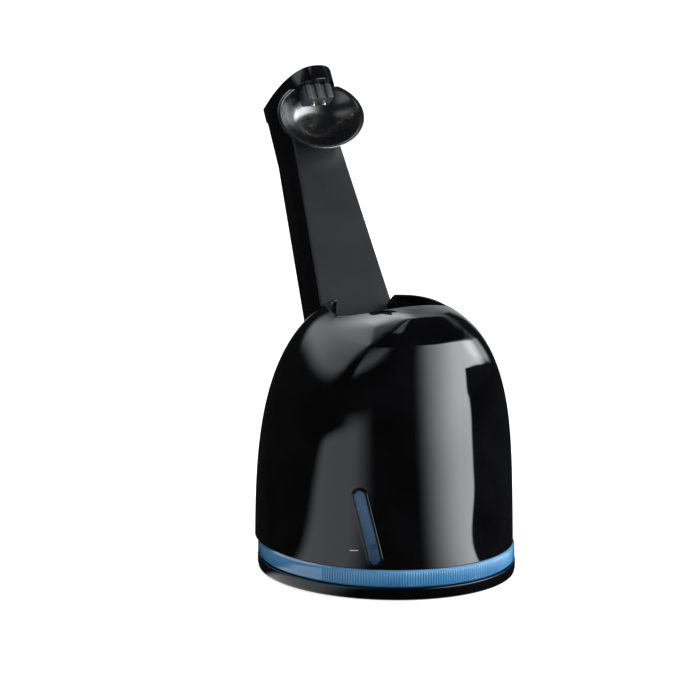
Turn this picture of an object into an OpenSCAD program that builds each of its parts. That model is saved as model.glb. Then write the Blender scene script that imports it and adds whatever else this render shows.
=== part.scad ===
// Shaver cleaning station: a lift-up domed housing with a leaning tower, on a tray with a fluid cartridge.
// Front is -Y, up is +Z, and the origin is the middle of the footprint on the table.

/* [Footprint] */
// Width of the oval body, side to side
body_w = 122; // [118:1:126]
// Depth of the oval body, front to back
body_d = 138; // [132:1:144]
// Thickness of the base tray, whose edge is the black lip
tray_h = 6; // [5:0.1:7]
// Thickness of the rubber feet, set flush in the tray's underside
foot_t = 1.6; // [1.2:0.1:2]
// Height of the blue ribbed band of the cartridge
band_h = 8.3; // [7.5:0.1:9]

/* [Housing] */
// Height of the dome's crown above the table
dome_h = 136.5; // [134:0.5:139]
// Wall of the moulded shells
shell_wall = 2.2; // [1.8:0.1:2.4]
// Height of the crown above the crease over the front panel
crown_rise = 14.9; // [13.5:0.1:16.5]
// How far the front panel leans in from foot to crease
front_lean = 7; // [5:0.5:8]
// Y of the seam between the front and rear shells
seam_y = 21; // [21:0.5:22]
// How far the housing lifts to free the cartridge
lift_travel = 36; // [35:1:37]

/* [Opening and bowl] */
// Half-width of the opening for the shaver head
mouth_a = 28; // [27:0.5:29]
// How far the opening's front lies behind the body's front
mouth_inset = 18; // [17.5:0.5:19]
// Y of the opening's middle
mouth_y = -10; // [-11:0.5:-9.5]
// Height of the bowl's floor
bowl_floor_z = 82; // [80:1:84]
// Half-width of the bowl's floor
bowl_floor_a = 15; // [14:0.5:16]
// Wall of the bowl
bowl_wall = 1.8; // [1.5:0.1:2]

/* [Cartridge] */
// Height of the cartridge's top face
cartridge_top = 48; // [46:0.5:48.5]
// Wall of the cartridge tub
tub_wall = 1.6; // [1.4:0.1:2]
// Y of the cartridge's flat back
cartridge_back = 28; // [26:0.5:29]
// Spacing of the ribs on the blue band
rib_pitch = 1.45; // [1.4:0.05:1.8]
// How far the ribs stand out
rib_out = 0.4; // [0.3:0.05:0.5]
// Outer radius of the drain and suction ports
port_r = 5; // [4.5:0.1:6]

/* [Tower] */
// Backward lean of the tower
lean = 37; // [36.5:0.25:37.5]
// How far the tower's reference point lies behind the body's back
tower_back = 21.4; // [20.6:0.2:22]
// Height of the tower's reference point above the crown
tower_rise = 54.3; // [53.5:0.1:55.5]
// Half-width of the tower's front face at its reference point
tower_half = 11.8; // [11.4:0.1:12.2]
// How far each side of the tower stands out past its front face
side_out = 2.4; // [1.8:0.1:2.6]
// Widening of each side per millimetre down the tower
tower_flare = 0.073; // [0.06:0.001:0.08]
// Front-to-back depth of the tower
tower_depth = 23.5; // [22:0.5:24.5]
// Wall of the tower covers
tower_wall = 2.2; // [1.8:0.1:2.6]
// Length of the tower below its reference point
tower_root = 100; // [99:0.5:101]
// Height of the hood's top above the reference point
hood_top = 33.4; // [32.4:0.2:34.4]
// Thickness of the hood
hood_t = 8; // [7:0.5:9]
// Reach of the hood's nose in front of the tower face
hood_reach = 22.7; // [21.5:0.2:23.5]

/* [Dish and contacts] */
// Half-width of the dish's rim
dish_a = 22.3; // [21:0.1:23]
// Half-height of the dish's rim
dish_b = 18; // [17:0.2:18.4]
// Depth of the dish
dish_depth = 13; // [12:0.5:14]
// Wall of the dish
dish_wall = 1.6; // [1.4:0.1:1.8]
// Height of the dish's middle above the reference point
dish_v = 10.3; // [9.6:0.1:10.6]
// Width of the contact block
block_w = 14.6; // [13:0.2:16]
// Length that the contact block hangs down
block_h = 8; // [7.5:0.5:9]
// Radius of the contact pins
pin_r = 1.1; // [0.9:0.05:1.2]
// Half the distance between the contact pins
pin_half_gap = 2.8; // [2.4:0.1:3.4]
// Travel of the contact pins
pin_travel = 1.5; // [1.2:0.1:1.6]

/* [Level window] */
// Width of the window lens
lens_w = 5.8; // [5.4:0.1:6.4]
// X of the window's middle
window_x = -32.3; // [-33.5:0.1:-31]
// Height of the window's middle
window_z = 35; // [34.5:0.5:37]
// Sideways tilt of the window
window_tilt = 15; // [12:1:16]
// Travel of the level pointer
pointer_travel = 24; // [22:0.5:25]

/* [Lift button and latch] */
// Width of the lift button
button_w = 18; // [16:0.5:20]
// Height of the lift button
button_h = 9; // [8:0.5:10]
// Height of the lift button's middle
button_z = 75; // [75:0.5:77]
// Travel of the lift button
button_travel = 3; // [2.5:0.1:3]
// Height of the latch lever's pivot
pivot_z = 66; // [65.5:0.5:66.5]

/* [Pump and electrics] */
// Radius of the pump housing
pump_r = 12; // [11:0.5:12]
// Radius of the pump motor
motor_r = 10; // [9:0.5:10.5]
// Length of the pump motor
motor_l = 26; // [24:1:28]
// Radius of the motor shaft
shaft_r = 1; // [0.8:0.1:1.2]
// Bore of the fluid tubes
tube_bore = 2; // [1.6:0.1:2.2]
// Wall of the fluid tubes
tube_wall = 1; // [0.8:0.1:1.2]

/* [Hidden] */

$fn = 64;
gap = 0.3;
slip = 0.05;
half_w = body_w / 2;
half_d = body_d / 2;
crease_z = dome_h - crown_rise;
mouth_b = half_d - mouth_inset + mouth_y;
tower_y = half_d + tower_back;
tower_z = dome_h + tower_rise;
tray_top = tray_h;
band_z = tray_top + gap;
band_top = band_z + band_h;
skirt_z = band_top + gap;
seam_gap = 0.3;

// Dome outline
arch_power = 3.1;
arch_round = 2.3;
rear_power = 3.53;
square_gain = 0.66;
square_power = 2.7;
square_z = crease_z - 1.6;
rear_squareness = 2.2;
dome_levels = 15;
dome_steps = 44;
crown_z = dome_h * 0.995;
// How the shoulder stands before the leaning panel: share of the crease's height, share of the lean
front_bow = [[0, 0], [0.33, 0.23], [0.62, 0.43], [0.79, 0.585], [0.895, 0.73], [0.965, 0.915], [1, 1]];
// The shoulder above the crease: share of the rise to the crown, and how far in it has come
crown_bow = [[0.72, 3], [0.93, 8], [1, 12]];
front_table = concat([for (p = front_bow) [p[0] * crease_z, half_d - p[1] * front_lean]],
    [for (p = crown_bow) [crease_z + p[0] * crown_rise, half_d - front_lean - p[1]]]);

function arch(z) = pow(max(0, 1 - pow(z / dome_h, arch_power)), 1 / arch_round);
function dome_a(z) = half_w * arch(z);
function dome_front(z) = lookup(z, front_table);
function dome_rear(z) = half_d * sqrt(max(0, 1 - pow(z / dome_h, rear_power)));
function squareness(z) = 2 + square_gain * pow(z / square_z, square_power);
function spow(v, p) = sign(v) * pow(abs(v), p);

// The front panel is part of the leaning oval of the footprint: its depth at height z
function panel_depth(z) = half_d - front_lean * z / crease_z;

// A point of the dome at turn u and height z, with the wall w taken off. The arched crown is cut back to
// the panel, which leaves the arched crease.
function dome_point(u, z, w) =
    let (m = sin(u) < 0 ? squareness(z) : rear_squareness,
         b = (sin(u) < 0 ? dome_front(z) : dome_rear(z)) - w,
         x = (dome_a(z) - w * arch(z)) * spow(cos(u), 2 / m),
         y = b * spow(sin(u), 2 / m),
         over = y < 0 ? max(1, norm([x / (half_w - w), y / (panel_depth(z) - w)])) : 1)
    [x / over, y / over, z * (dome_h - w) / dome_h];

function ring_faces(levels, steps) = concat(
    [[for (i = [0 : steps - 1]) i]],
    [[for (i = [steps - 1 : -1 : 0]) levels * steps + i]],
    [for (j = [0 : levels - 1]) for (i = [0 : steps - 1]) for (half = [0, 1])
        let (a = j * steps + i, b = j * steps + (i + 1) % steps)
        half == 0 ? [a + steps, b + steps, b] : [a + steps, b, a]]);

// Solid dome from height z_low to the crown, w inside the outer surface
module dome_solid(w, z_low) {
    points = [for (j = [0 : dome_levels]) let (z = z_low + (crown_z - z_low) * sin(90 * j / dome_levels))
        for (i = [0 : dome_steps - 1]) dome_point(360 * i / dome_steps, z, w)];
    polyhedron(points, ring_faces(dome_levels, dome_steps), convexity = 4);
}

module oval(a, b, h) {
    scale([1, b / a, 1]) cylinder(r = a, h = h);
}

module mouth(grow, z_low, z_high) {
    translate([0, mouth_y, z_low]) oval(mouth_a + grow, mouth_b + grow, z_high - z_low);
}

// Tower frame: x across, -y out of the face, z up the tower
module tower_frame() {
    translate([0, tower_y, tower_z]) rotate([-lean, 0, 0]) children();
}

function tower_at(v) = tower_half - tower_flare * min(v, 0);
hood_under = hood_top - hood_t;

// Tapered block in the tower frame, between heights v0 and v1 and depths y0 and y1
module tower_prism(grow, y0, y1, v0, v1) {
    outline = [[-tower_at(v0) - grow, v0], [tower_at(v0) + grow, v0], [tower_at(0) + grow, min(v1, 0)],
        [tower_at(0) + grow, max(v1, 0.01)], [-tower_at(0) - grow, max(v1, 0.01)],
        [-tower_at(0) - grow, min(v1, 0)]];
    translate([0, y1, 0]) rotate([90, 0, 0]) linear_extrude(y1 - y0) polygon(outline);
}

// Room for the tower
module tower_clearance() {
    tower_frame() tower_prism(gap + side_out, -gap, tower_depth + gap, -tower_root - 30, 20);
}

// Level window frame: x across the slot, +y into the housing, z along the slot
window_y = -panel_depth(window_z) * sqrt(1 - pow(window_x / half_w, 2)) + 0.1;
window_turn = atan2(window_x / (half_w * half_w), -window_y / (half_d * half_d));
window_lean = atan(front_lean / crease_z) * cos(window_turn);
module window_place() {
    translate([window_x, window_y, window_z]) rotate([0, 0, window_turn])
        rotate([-window_lean, 0, 0]) rotate([0, -window_tilt, 0]) children();
}

// Rounded slot, w wide and l long, from depth y0 to y1
module slot(w, l, y0, y1) {
    translate([0, y1, 0]) rotate([90, 0, 0]) linear_extrude(y1 - y0) union() {
        square([w, l - w], center = true);
        for (s = [-1, 1]) translate([0, s * (l - w) / 2]) circle(d = w);
    }
}

frame_wall = 1.1;
lens_l = pointer_travel + 12.4;
frame_w = lens_w + 2 * frame_wall;
frame_l = lens_l + 2 * frame_wall;

module along_y(y0, y1, r) {
    translate([0, y0, 0]) rotate([-90, 0, 0]) cylinder(r = r, h = y1 - y0);
}

module pan_screw(r, head_r, length) {
    difference() {
        union() {
            cylinder(r = r, h = length);
            translate([0, 0, -1.4]) cylinder(r = head_r, h = 1.4);
        }
        for (a = [0, 90]) rotate([0, 0, a]) translate([-head_r * 0.6, -0.3, -1.5]) cube([head_r * 1.2, 0.6, 0.9]);
    }
}

// Coil spring of one unbroken tube along +Z
coil_rings = 8;
coil_sides = 6;
module coil(r, wire_r, length, turns) {
    rings = turns * coil_rings;
    rise = length - 2 * wire_r;
    points = [for (j = [0 : rings]) let (t = 360 * j / coil_rings, z = wire_r + rise * j / rings)
        for (i = [0 : coil_sides - 1]) let (a = 360 * i / coil_sides, d = r + wire_r * cos(a))
            [d * cos(t), d * sin(t), z + wire_r * sin(a)]];
    polyhedron(points, [for (f = ring_faces(rings, coil_sides)) [for (k = [len(f) - 1 : -1 : 0]) f[k]]],
        convexity = 8);
    echo(coil_gap = rise / turns - 2 * wire_r);
}

// Base -------------------------------------------------------------------------------------------
tray_inset = 0.2;
foot_r = 6;
foot_x = half_w - 25;
foot_y = half_d - 27;
column_x = 15;
column_d = 12;
column_z = tray_top;
deck_z = cartridge_top + 2.3;
button_y = dome_rear(button_z);
lever_y = button_y - 6.7;
column_back = lever_y - 6;
column_front = column_back - column_d;
column_top = deck_z + lift_travel + 4;
rim_t = 4;
tray_screw_x = 9;
screw_sink = 2.4;
column_mid = (column_front + column_back) / 2;

module base_tray() {
    color("#141416") difference() {
        union() {
            oval(half_w, half_d, tray_h);
            difference() {
                oval(half_w - tray_inset, half_d - tray_inset, band_top);
                translate([0, 0, tray_top]) oval(half_w - rim_t, half_d - rim_t, band_top);
                translate([-body_w, -body_d, tray_top]) cube([2 * body_w, body_d + cartridge_back + gap, band_top]);
            }
        }
        for (x = [-1, 1]) for (y = [-1, 1]) translate([x * foot_x, y * foot_y, -1])
            cylinder(r = foot_r + gap / 2, h = foot_t + 1);
        for (x = [-1, 1]) translate([x * tray_screw_x, column_mid, 0]) {
            translate([0, 0, -1]) cylinder(r = 1.7, h = tray_h + 2);
            translate([0, 0, -1]) cylinder(r = 3.2, h = screw_sink + 1);
        }
    }
}

module rubber_feet() {
    color("#2a2a2c") for (x = [-1, 1]) for (y = [-1, 1]) translate([x * foot_x, y * foot_y, 0]) {
        cylinder(r1 = foot_r - 0.4, r2 = foot_r, h = 0.4);
        translate([0, 0, 0.4]) cylinder(r = foot_r, h = foot_t - 0.4);
    }
}

module base_screws() {
    color("silver") for (x = [-1, 1]) translate([x * tray_screw_x, column_mid, screw_sink - 0.02])
        pan_screw(1.5, 2.9, 9);
}

notch_z = pivot_z - 12.5;
tooth_z = pivot_z - 9.7;
tooth = 2.4;
notch_deep = tooth + gap;
notch_half = 5.5;
module guide_column() {
    color("#232326") difference() {
        translate([-column_x, column_front, column_z]) cube([2 * column_x, column_back - column_front,
            column_top - column_z]);
        translate([-column_x + 3, column_front - 0.1, column_z + 16])
            cube([2 * column_x - 6, 4, column_top - column_z - 20]);
        translate([-notch_half, column_back - notch_deep, notch_z])
            cube([2 * notch_half, notch_deep + 1, column_top - notch_z + 1]);
        for (x = [-1, 1]) translate([x * tray_screw_x, column_mid, column_z - 1]) cylinder(r = 1.55, h = 11);
    }
}

// Cartridge --------------------------------------------------------------------------------------
tub_inset = 8.6;
band_inset = 0.3;
tub_a = half_w - tub_inset;
tub_b = panel_depth(cartridge_top) - tub_inset;
drain_y = mouth_y;

module behind(y, h) {
    translate([-body_w, y, -1]) cube([2 * body_w, body_d, h + 2]);
}

band_wall = 2.2;
rib_turn = rib_pitch / half_d * 180 / PI;
rib_half_count = floor(55 / rib_turn);

// The band's outline: a zigzag of ribs round the front and a smooth oval behind them
function band_outline(a, b) = concat(
    [for (i = [-rib_half_count : rib_half_count]) for (s = [0, 1])
        let (u = -90 + (i + s / 2) * rib_turn, out = s * rib_out)
        [(a + out) * cos(u), (b + out) * sin(u)]],
    [for (u = [-24 : 4 : 204]) [(a + rib_out) * cos(u), (b + rib_out) * sin(u)]]);

module cartridge_tub() {
    band_a = half_w - band_inset - rib_out;
    band_b = half_d - band_inset - rib_out;
    color("#5a9bd0") difference() {
        union() {
            translate([0, 0, band_z]) linear_extrude(band_h) polygon(band_outline(band_a, band_b));
            translate([0, 0, band_z]) oval(tub_a, tub_b, cartridge_top - 2 - band_z);
        }
        difference() {
            translate([0, 0, band_z + tub_wall]) oval(band_a - band_wall, band_b - band_wall, cartridge_top);
            translate([0, 0, band_z]) oval(tub_a, tub_b, cartridge_top);
        }
        difference() {
            translate([0, 0, band_z + tub_wall]) oval(tub_a - tub_wall, tub_b - tub_wall, cartridge_top);
            behind(cartridge_back - tub_wall, cartridge_top);
        }
        behind(cartridge_back, cartridge_top);
    }
}

module cartridge_lid() {
    color("#3f7fb8") difference() {
        union() {
            translate([0, 0, cartridge_top - 2]) oval(tub_a, tub_b, 2);
            translate([0, 0, cartridge_top - 4]) oval(tub_a - tub_wall - gap, tub_b - tub_wall - gap, 2.5);
        }
        behind(cartridge_back - tub_wall - gap, cartridge_top);
        translate([0, drain_y, cartridge_top - 5]) cylinder(r = port_r, h = 6);
        translate([dip_x, dip_y, cartridge_top - 5]) cylinder(r = port_r, h = 6);
    }
    color("#3f7fb8") difference() {
        translate([0, 0, cartridge_top - 2]) oval(tub_a, tub_b, 2);
        translate([-body_w, -body_d, -1]) cube([2 * body_w, body_d + cartridge_back - tub_wall - gap - 0.01, body_w]);
        behind(cartridge_back, cartridge_top);
    }
}

module port_seals() {
    for (p = [[0, drain_y], [dip_x, dip_y]]) color("#777777") translate([p[0], p[1], cartridge_top - 2.5])
        difference() {
            cylinder(r = port_r - slip, h = 3);
            translate([0, 0, -1]) cylinder(r = tube_bore + tube_wall + 0.6, h = 6);
        }
}

// Housing shells ---------------------------------------------------------------------------------
crown_cut = 14;
cut_inset = 3;
lug_r = 3;
lug_reach = 2;
lug_t = 2.4;
lug_z = [60, 92];
collar_t = 1.8;
collar_z = dome_h - 20.5;
socket_x = half_w - 23;
socket_z = 28;
socket_w = 15;
socket_h = 12;
socket_y = half_d * sqrt(1 - pow(socket_x / half_w, 2)) - 0.6;
socket_turn = -atan2(socket_x / (half_w * half_w), socket_y / (half_d * half_d));

// Half-width of the housing's inside at depth y and height z
function inside_x(y, z) = (dome_a(z) - shell_wall)
    * pow(1 - pow(y / (dome_rear(z) - shell_wall), rear_squareness), 1 / rear_squareness);
function seam_x(z) = inside_x(seam_y, z);
function lug_x(z) = seam_x(z) - lug_r - lug_reach;

// Dome wall with the opening, and a collar of thickness collar hanging from the opening's rim
module housing_shell(collar) {
    difference() {
        dome_solid(0, skirt_z);
        difference() {
            dome_solid(shell_wall, skirt_z - 3);
            mouth(collar, collar_z, dome_h + 5);
        }
        mouth(0, collar_z - 1, dome_h + 5);
    }
}

// The opening's back end, cut through to the tower's face and a little narrower than it
module crown_notch() {
    tower_frame() tower_prism(-cut_inset, -crown_cut, 1, -tower_root - 30, 20);
}

// Screw lugs on both sides of the seam, standing from y0 to y1
module seam_lugs(y0, y1, hole) {
    for (x = [-1, 1]) for (z = lug_z) translate([x * lug_x(z), 0, z]) difference() {
        union() {
            along_y(y0, y1, lug_r);
            translate([x > 0 ? 0 : -lug_r - lug_reach - 1, y0, -lug_r])
                cube([lug_r + lug_reach + 1, y1 - y0, 2 * lug_r]);
        }
        along_y(y0 - 1, y1 + 1, hole);
    }
}

module front_shell() {
    color("#101012") difference() {
        intersection() {
            housing_shell(collar_t);
            translate([-body_w, seam_y - 2 * body_d, 0]) cube([2 * body_w, 2 * body_d, 2 * dome_h]);
        }
        tower_clearance();
        crown_notch();
        window_place() slot(frame_w + 2 * gap, frame_l + 2 * gap, -4, 8);
    }
    color("#101012") seam_lugs(seam_y - lug_t, seam_y, 1.15);
}

module rear_shell() {
    color("#101012") difference() {
        intersection() {
            housing_shell(0);
            translate([-body_w, seam_y + seam_gap, 0]) cube([2 * body_w, 2 * body_d, 2 * dome_h]);
        }
        tower_clearance();
        crown_notch();
        translate([-button_w / 2 - gap, button_y - 8, button_z - button_h / 2 - gap])
            cube([button_w + 2 * gap, 20, button_h + 2 * gap]);
        translate([socket_x, socket_y, socket_z]) rotate([0, 0, socket_turn])
            translate([-socket_w / 2 - gap, -8, -socket_h / 2 - gap]) cube([socket_w + 2 * gap, 20, socket_h + 2 * gap]);
    }
    color("#101012") seam_lugs(seam_y + seam_gap, seam_y + seam_gap + lug_t, 1.3);
}

module shell_screws() {
    color("silver") for (x = [-1, 1]) for (z = lug_z)
        translate([x * lug_x(z), seam_y + seam_gap + lug_t + 0.02, z]) rotate([90, 0, 0]) pan_screw(1.1, 2.2, 6);
}

// Inside the housing -----------------------------------------------------------------------------
deck_t = 2.5;
deck_top = deck_z + deck_t;
deck_in = shell_wall + 0.6;
pump_y = 32;
pump_h = 12;
motor_clear = 2.5;
pump_x = motor_r + motor_clear - inside_x(pump_y, deck_top + pump_h + motor_l);
dip_x = pump_x;
dip_y = 6;
board_x = half_w - 41;
board_y = 0;
board_w = 22;
board_l = 34;
board_t = 1.6;
post_h = 4;
board_z = deck_top + post_h;
ear_x = 8;
ear_t = 2;
ear_top = pivot_z + 4;

module deck_plate() {
    outer_a = dome_a(deck_top) - deck_in;
    outer_b = min(panel_depth(deck_top), dome_rear(deck_top)) - deck_in;
    color("#2e3034") difference() {
        union() {
            translate([0, 0, deck_z]) oval(outer_a, outer_b, deck_t);
            for (x = [4, board_w - 4]) for (y = [5, board_l - 5])
                translate([board_x + x, board_y + y, deck_z]) cylinder(r = 2.4, h = deck_t + post_h);
            for (x = [-1, 1]) difference() {
                translate([x > 0 ? ear_x : -ear_x - ear_t, lever_y - 4, deck_z])
                    cube([ear_t, 8, ear_top - deck_z]);
                translate([0, lever_y, pivot_z]) rotate([0, 90, 0]) cylinder(r = 1.5, h = 60, center = true);
            }
        }
        translate([-column_x - gap, column_front - gap, deck_z - 1])
            cube([2 * (column_x + gap), column_back - column_front + 2 * gap, deck_t + 2]);
        translate([0, drain_y, deck_z - 1]) cylinder(r = tube_bore + 2 * tube_wall + gap, h = deck_t + 2);
        translate([dip_x, dip_y, deck_z - 1]) cylinder(r = tube_bore + tube_wall + gap, h = deck_t + 2);
        for (x = [-1, 1]) translate([x * carriage_screw_x, carriage_mid, deck_z - 1]) cylinder(r = 1.3, h = deck_t + 2);
        window_place() translate([-frame_w / 2 - gap, -4, -frame_l]) cube([frame_w + 2 * gap, 12, 2 * frame_l]);
    }
}

bowl_top = collar_z - gap;
bowl_flange = 2;
bowl_top_a = mouth_a - 0.4;
bowl_b = (mouth_b - 0.4) / bowl_top_a;
spigot_h = 6;
module docking_bowl() {
    h = bowl_top - bowl_floor_z;
    color("#1c1d20") difference() {
        union() {
            translate([0, mouth_y, bowl_floor_z]) scale([1, bowl_b, 1]) cylinder(r1 = bowl_floor_a, r2 = bowl_top_a, h = h);
            mouth(collar_t, bowl_top - bowl_flange, bowl_top);
            translate([0, drain_y, bowl_floor_z - spigot_h]) cylinder(r = tube_bore + tube_wall, h = spigot_h + 1);
        }
        translate([0, mouth_y, bowl_floor_z + bowl_wall]) scale([1, bowl_b, 1])
            cylinder(r1 = bowl_floor_a - bowl_wall, r2 = bowl_top_a - bowl_wall + 0.6, h = h);
        translate([0, drain_y, bowl_floor_z - spigot_h - 1]) cylinder(r = tube_bore, h = spigot_h + 5);
        supply_bore();
        tower_clearance();
    }
}

// Drain: a hose from the bowl's spigot down to the cartridge's port
module drain_tube() {
    r = tube_bore + tube_wall;
    color("#4a4c52") translate([0, drain_y, cartridge_top + gap]) difference() {
        union() {
            cylinder(r = r, h = bowl_floor_z - cartridge_top - gap);
            translate([0, 0, deck_top - cartridge_top]) cylinder(r = r + 3, h = 1.5);
            translate([0, 0, 8]) cylinder(r = r + tube_wall, h = bowl_floor_z - cartridge_top - gap - 8);
        }
        translate([0, 0, -1]) cylinder(r = tube_bore, h = 60);
        translate([0, 0, bowl_floor_z - spigot_h - cartridge_top - gap]) cylinder(r = r + slip, h = spigot_h + 1);
    }
}

carriage_low = 28;
carriage_high = deck_z;
carriage_wall = 4.6;
carriage_mid = column_mid;
carriage_screw_x = column_x + gap + carriage_wall / 2;
module lift_carriage() {
    color("#3a3c40") difference() {
        translate([-column_x - carriage_wall - gap, column_front - carriage_wall + 1, carriage_low])
            cube([2 * (column_x + carriage_wall + gap), column_back - column_front + 2 * carriage_wall - 2,
                carriage_high - carriage_low]);
        translate([-column_x - gap, column_front - gap, carriage_low - 1])
            cube([2 * (column_x + gap), column_back - column_front + 2 * gap, carriage_high]);
        for (x = [-1, 1]) translate([x * carriage_screw_x, carriage_mid, carriage_high - 10]) cylinder(r = 1.15, h = 11);
    }
}

module carriage_screws() {
    color("silver") for (x = [-1, 1]) translate([x * carriage_screw_x, carriage_mid, deck_top + 0.02])
        rotate([180, 0, 0]) pan_screw(1.1, 2, 8);
}

chamber_r = 8;
pipe_z = deck_top + pump_h / 2;
nozzle_y = pump_y - pump_r - 3;
supply_x = pump_x - 7;
nozzle_r = 3.6;
module pump_housing() {
    color("#34373c") difference() {
        union() {
            translate([pump_x, pump_y, deck_top]) cylinder(r = pump_r, h = pump_h);
            translate([pump_x, 0, pipe_z]) along_y(nozzle_y, pump_y - 4, nozzle_r);
            translate([supply_x, 0, pipe_z]) along_y(nozzle_y, pump_y - 6, nozzle_r);
        }
        translate([pump_x, pump_y, deck_top + 3]) cylinder(r = chamber_r, h = 6);
        translate([pump_x, pump_y, deck_top + 5]) cylinder(r = shaft_r + slip, h = pump_h);
        translate([pump_x, 0, pipe_z]) along_y(nozzle_y - 1, pump_y - 4, tube_bore);
        translate([supply_x, 0, pipe_z]) along_y(nozzle_y - 1, pump_y - 3, tube_bore);
    }
}

motor_z = deck_top + pump_h;
module pump_motor() {
    color("#9a9ca0") translate([pump_x, pump_y, motor_z]) difference() {
        union() {
            cylinder(r = motor_r, h = motor_l - 2);
            translate([0, 0, motor_l - 2]) cylinder(r = motor_r - 3, h = 2);
            for (x = [-1, 1]) translate([x * 4, 0, motor_l]) cylinder(r = 0.8, h = 3);
        }
        translate([0, 0, -1]) cylinder(r = shaft_r + slip, h = 15);
        for (x = [-1, 1]) translate([x * motor_r, -3, 4]) cube([1, 6, motor_l - 10], center = false);
    }
}

module pump_rotor() {
    color("#c8ccd0") translate([pump_x, pump_y, 0]) {
        translate([0, 0, deck_top + 3.4]) cylinder(r = shaft_r, h = pump_h + 9);
        translate([0, 0, deck_top + 3.4]) difference() {
            cylinder(r = 3, h = 5);
            translate([0, 0, -1]) cylinder(r = shaft_r * 0.5, h = 1.2);
        }
        for (a = [0 : 60 : 300]) rotate([0, 0, a]) translate([2.4, -0.5, deck_top + 3.5]) cube([4.8, 1, 4.6]);
    }
}

dip_low = 14;
pipe_r = tube_bore + tube_wall;

// Dip tube from the cartridge, with an elbow to the pump's inlet
module suction_tube() {
    color("#8d9096") translate([dip_x, dip_y, 0]) difference() {
        union() {
            translate([0, 0, dip_low]) cylinder(r = pipe_r, h = pipe_z - dip_low);
            translate([0, 0, pipe_z]) sphere(r = pipe_r);
            translate([0, 0, pipe_z]) along_y(0, nozzle_y - dip_y - gap, pipe_r);
            translate([0, 0, deck_top]) cylinder(r = pipe_r + 1.5, h = 1.2);
        }
        translate([0, 0, dip_low - 1]) cylinder(r = tube_bore, h = pipe_z - dip_low + 1);
        translate([0, 0, pipe_z]) sphere(r = tube_bore);
        translate([0, 0, pipe_z]) along_y(0, nozzle_y, tube_bore);
    }
}

// Riser from the pump's outlet to a hole in the bowl's side
supply_top = 100;
module supply_bore() {
    translate([supply_x, drain_y, supply_top]) rotate([0, 90, 0]) cylinder(r = tube_bore, h = 0.4 * mouth_b - supply_x / 2);
}

module supply_tube() {
    end_x = -bowl_edge(supply_top + pipe_r) - gap;
    color("#8d9096") translate([supply_x, drain_y, 0]) difference() {
        union() {
            translate([0, 0, pipe_z]) along_y(0, nozzle_y - drain_y - gap, pipe_r);
            translate([0, 0, pipe_z]) sphere(r = pipe_r);
            translate([0, 0, deck_top]) cylinder(r = pipe_r, h = supply_top - deck_top);
            translate([0, 0, deck_top]) cylinder(r = pipe_r + 1.5, h = 1.2);
            translate([0, 0, supply_top]) sphere(r = pipe_r);
            translate([0, 0, supply_top]) rotate([0, 90, 0]) cylinder(r = pipe_r, h = end_x - supply_x);
        }
        translate([0, 0, pipe_z]) cylinder(r = tube_bore, h = supply_top - pipe_z);
        for (z = [pipe_z, supply_top]) translate([0, 0, z]) sphere(r = tube_bore);
        translate([0, 0, pipe_z]) along_y(0, nozzle_y - drain_y, tube_bore);
        translate([0, 0, supply_top]) rotate([0, 90, 0]) cylinder(r = tube_bore, h = end_x - supply_x + 1);
    }
}

function bowl_edge(z) = bowl_floor_a + (bowl_top_a - bowl_floor_a) * (z - bowl_floor_z) / (bowl_top - bowl_floor_z);

module circuit_board() {
    color("#1f6b3a") difference() {
        translate([board_x, board_y, board_z]) cube([board_w, board_l, board_t]);
        for (x = [4, board_w - 4]) for (y = [5, board_l - 5])
            translate([board_x + x, board_y + y, board_z - 1]) cylinder(r = 1.1, h = 4);
    }
}

module board_parts() {
    translate([board_x, board_y, board_z + board_t]) {
        color("#303030") translate([8, 12, 0]) cube([8, 10, 1.8]);
        color("#20242c") translate([12, 6.5, 0]) cylinder(r = 3.2, h = 9);
        color("#e8e4d8") translate([6.5, 26, 0]) cube([9, 4.5, 6]);
        color("#7a5230") for (i = [0 : 3]) translate([1.2, 9 + 4 * i, 0]) cube([3, 1.6, 1]);
    }
}

module socket_place() {
    translate([socket_x, socket_y, socket_z]) rotate([0, 0, socket_turn]) children();
}

socket_deep = 12;
socket_rim = 1.4;
lobe_r = 3.6;
pole_x = 3;
pole_r = 1;
module power_socket() {
    color("#1a1a1c") socket_place() difference() {
        union() {
            translate([-socket_w / 2, -socket_deep, -socket_h / 2]) cube([socket_w, socket_deep, socket_h]);
            translate([-socket_w / 2 - socket_rim, -socket_deep, -socket_h / 2 - socket_rim])
                cube([socket_w + 2 * socket_rim, socket_deep - shell_wall - 0.9, socket_h + 2 * socket_rim]);
        }
        for (x = [-1, 1]) translate([x * pole_x, 0, 0]) along_y(-socket_deep + 3, 1, lobe_r);
        for (x = [-1, 1]) translate([x * pole_x, 0, 0]) along_y(-socket_deep - 1, 1, pole_r);
    }
}

module socket_pins() {
    color("gold") socket_place() for (x = [-1, 1]) translate([x * pole_x, 0, 0])
        along_y(-socket_deep - 3, -3, pole_r - slip);
}

// Tower ------------------------------------------------------------------------------------------
screw_v = [-84, -52, -20, 16];
head_sink = 3;
bracket_t = 10;
bracket_w = 22;
// From the deck, in front of the guide column, up to the lower end of the tower
module tower_bracket() {
    foot = tower_y - tower_root * sin(lean);
    foot_top = tower_z - tower_root * cos(lean);
    y0 = column_front - bracket_t - 2;
    s0 = max(1, (y0 - foot) / cos(lean));
    s1 = (column_front - 1 - foot) / cos(lean);
    outline = [[y0, deck_top], [y0 + bracket_t, deck_top],
        [foot + s1 * cos(lean), foot_top - s1 * sin(lean)], [foot + s0 * cos(lean), foot_top - s0 * sin(lean)]];
    color("#2e3034") translate([-bracket_w / 2, 0, 0]) rotate([90, 0, 90]) linear_extrude(bracket_w)
        polygon(outline);
}

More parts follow.
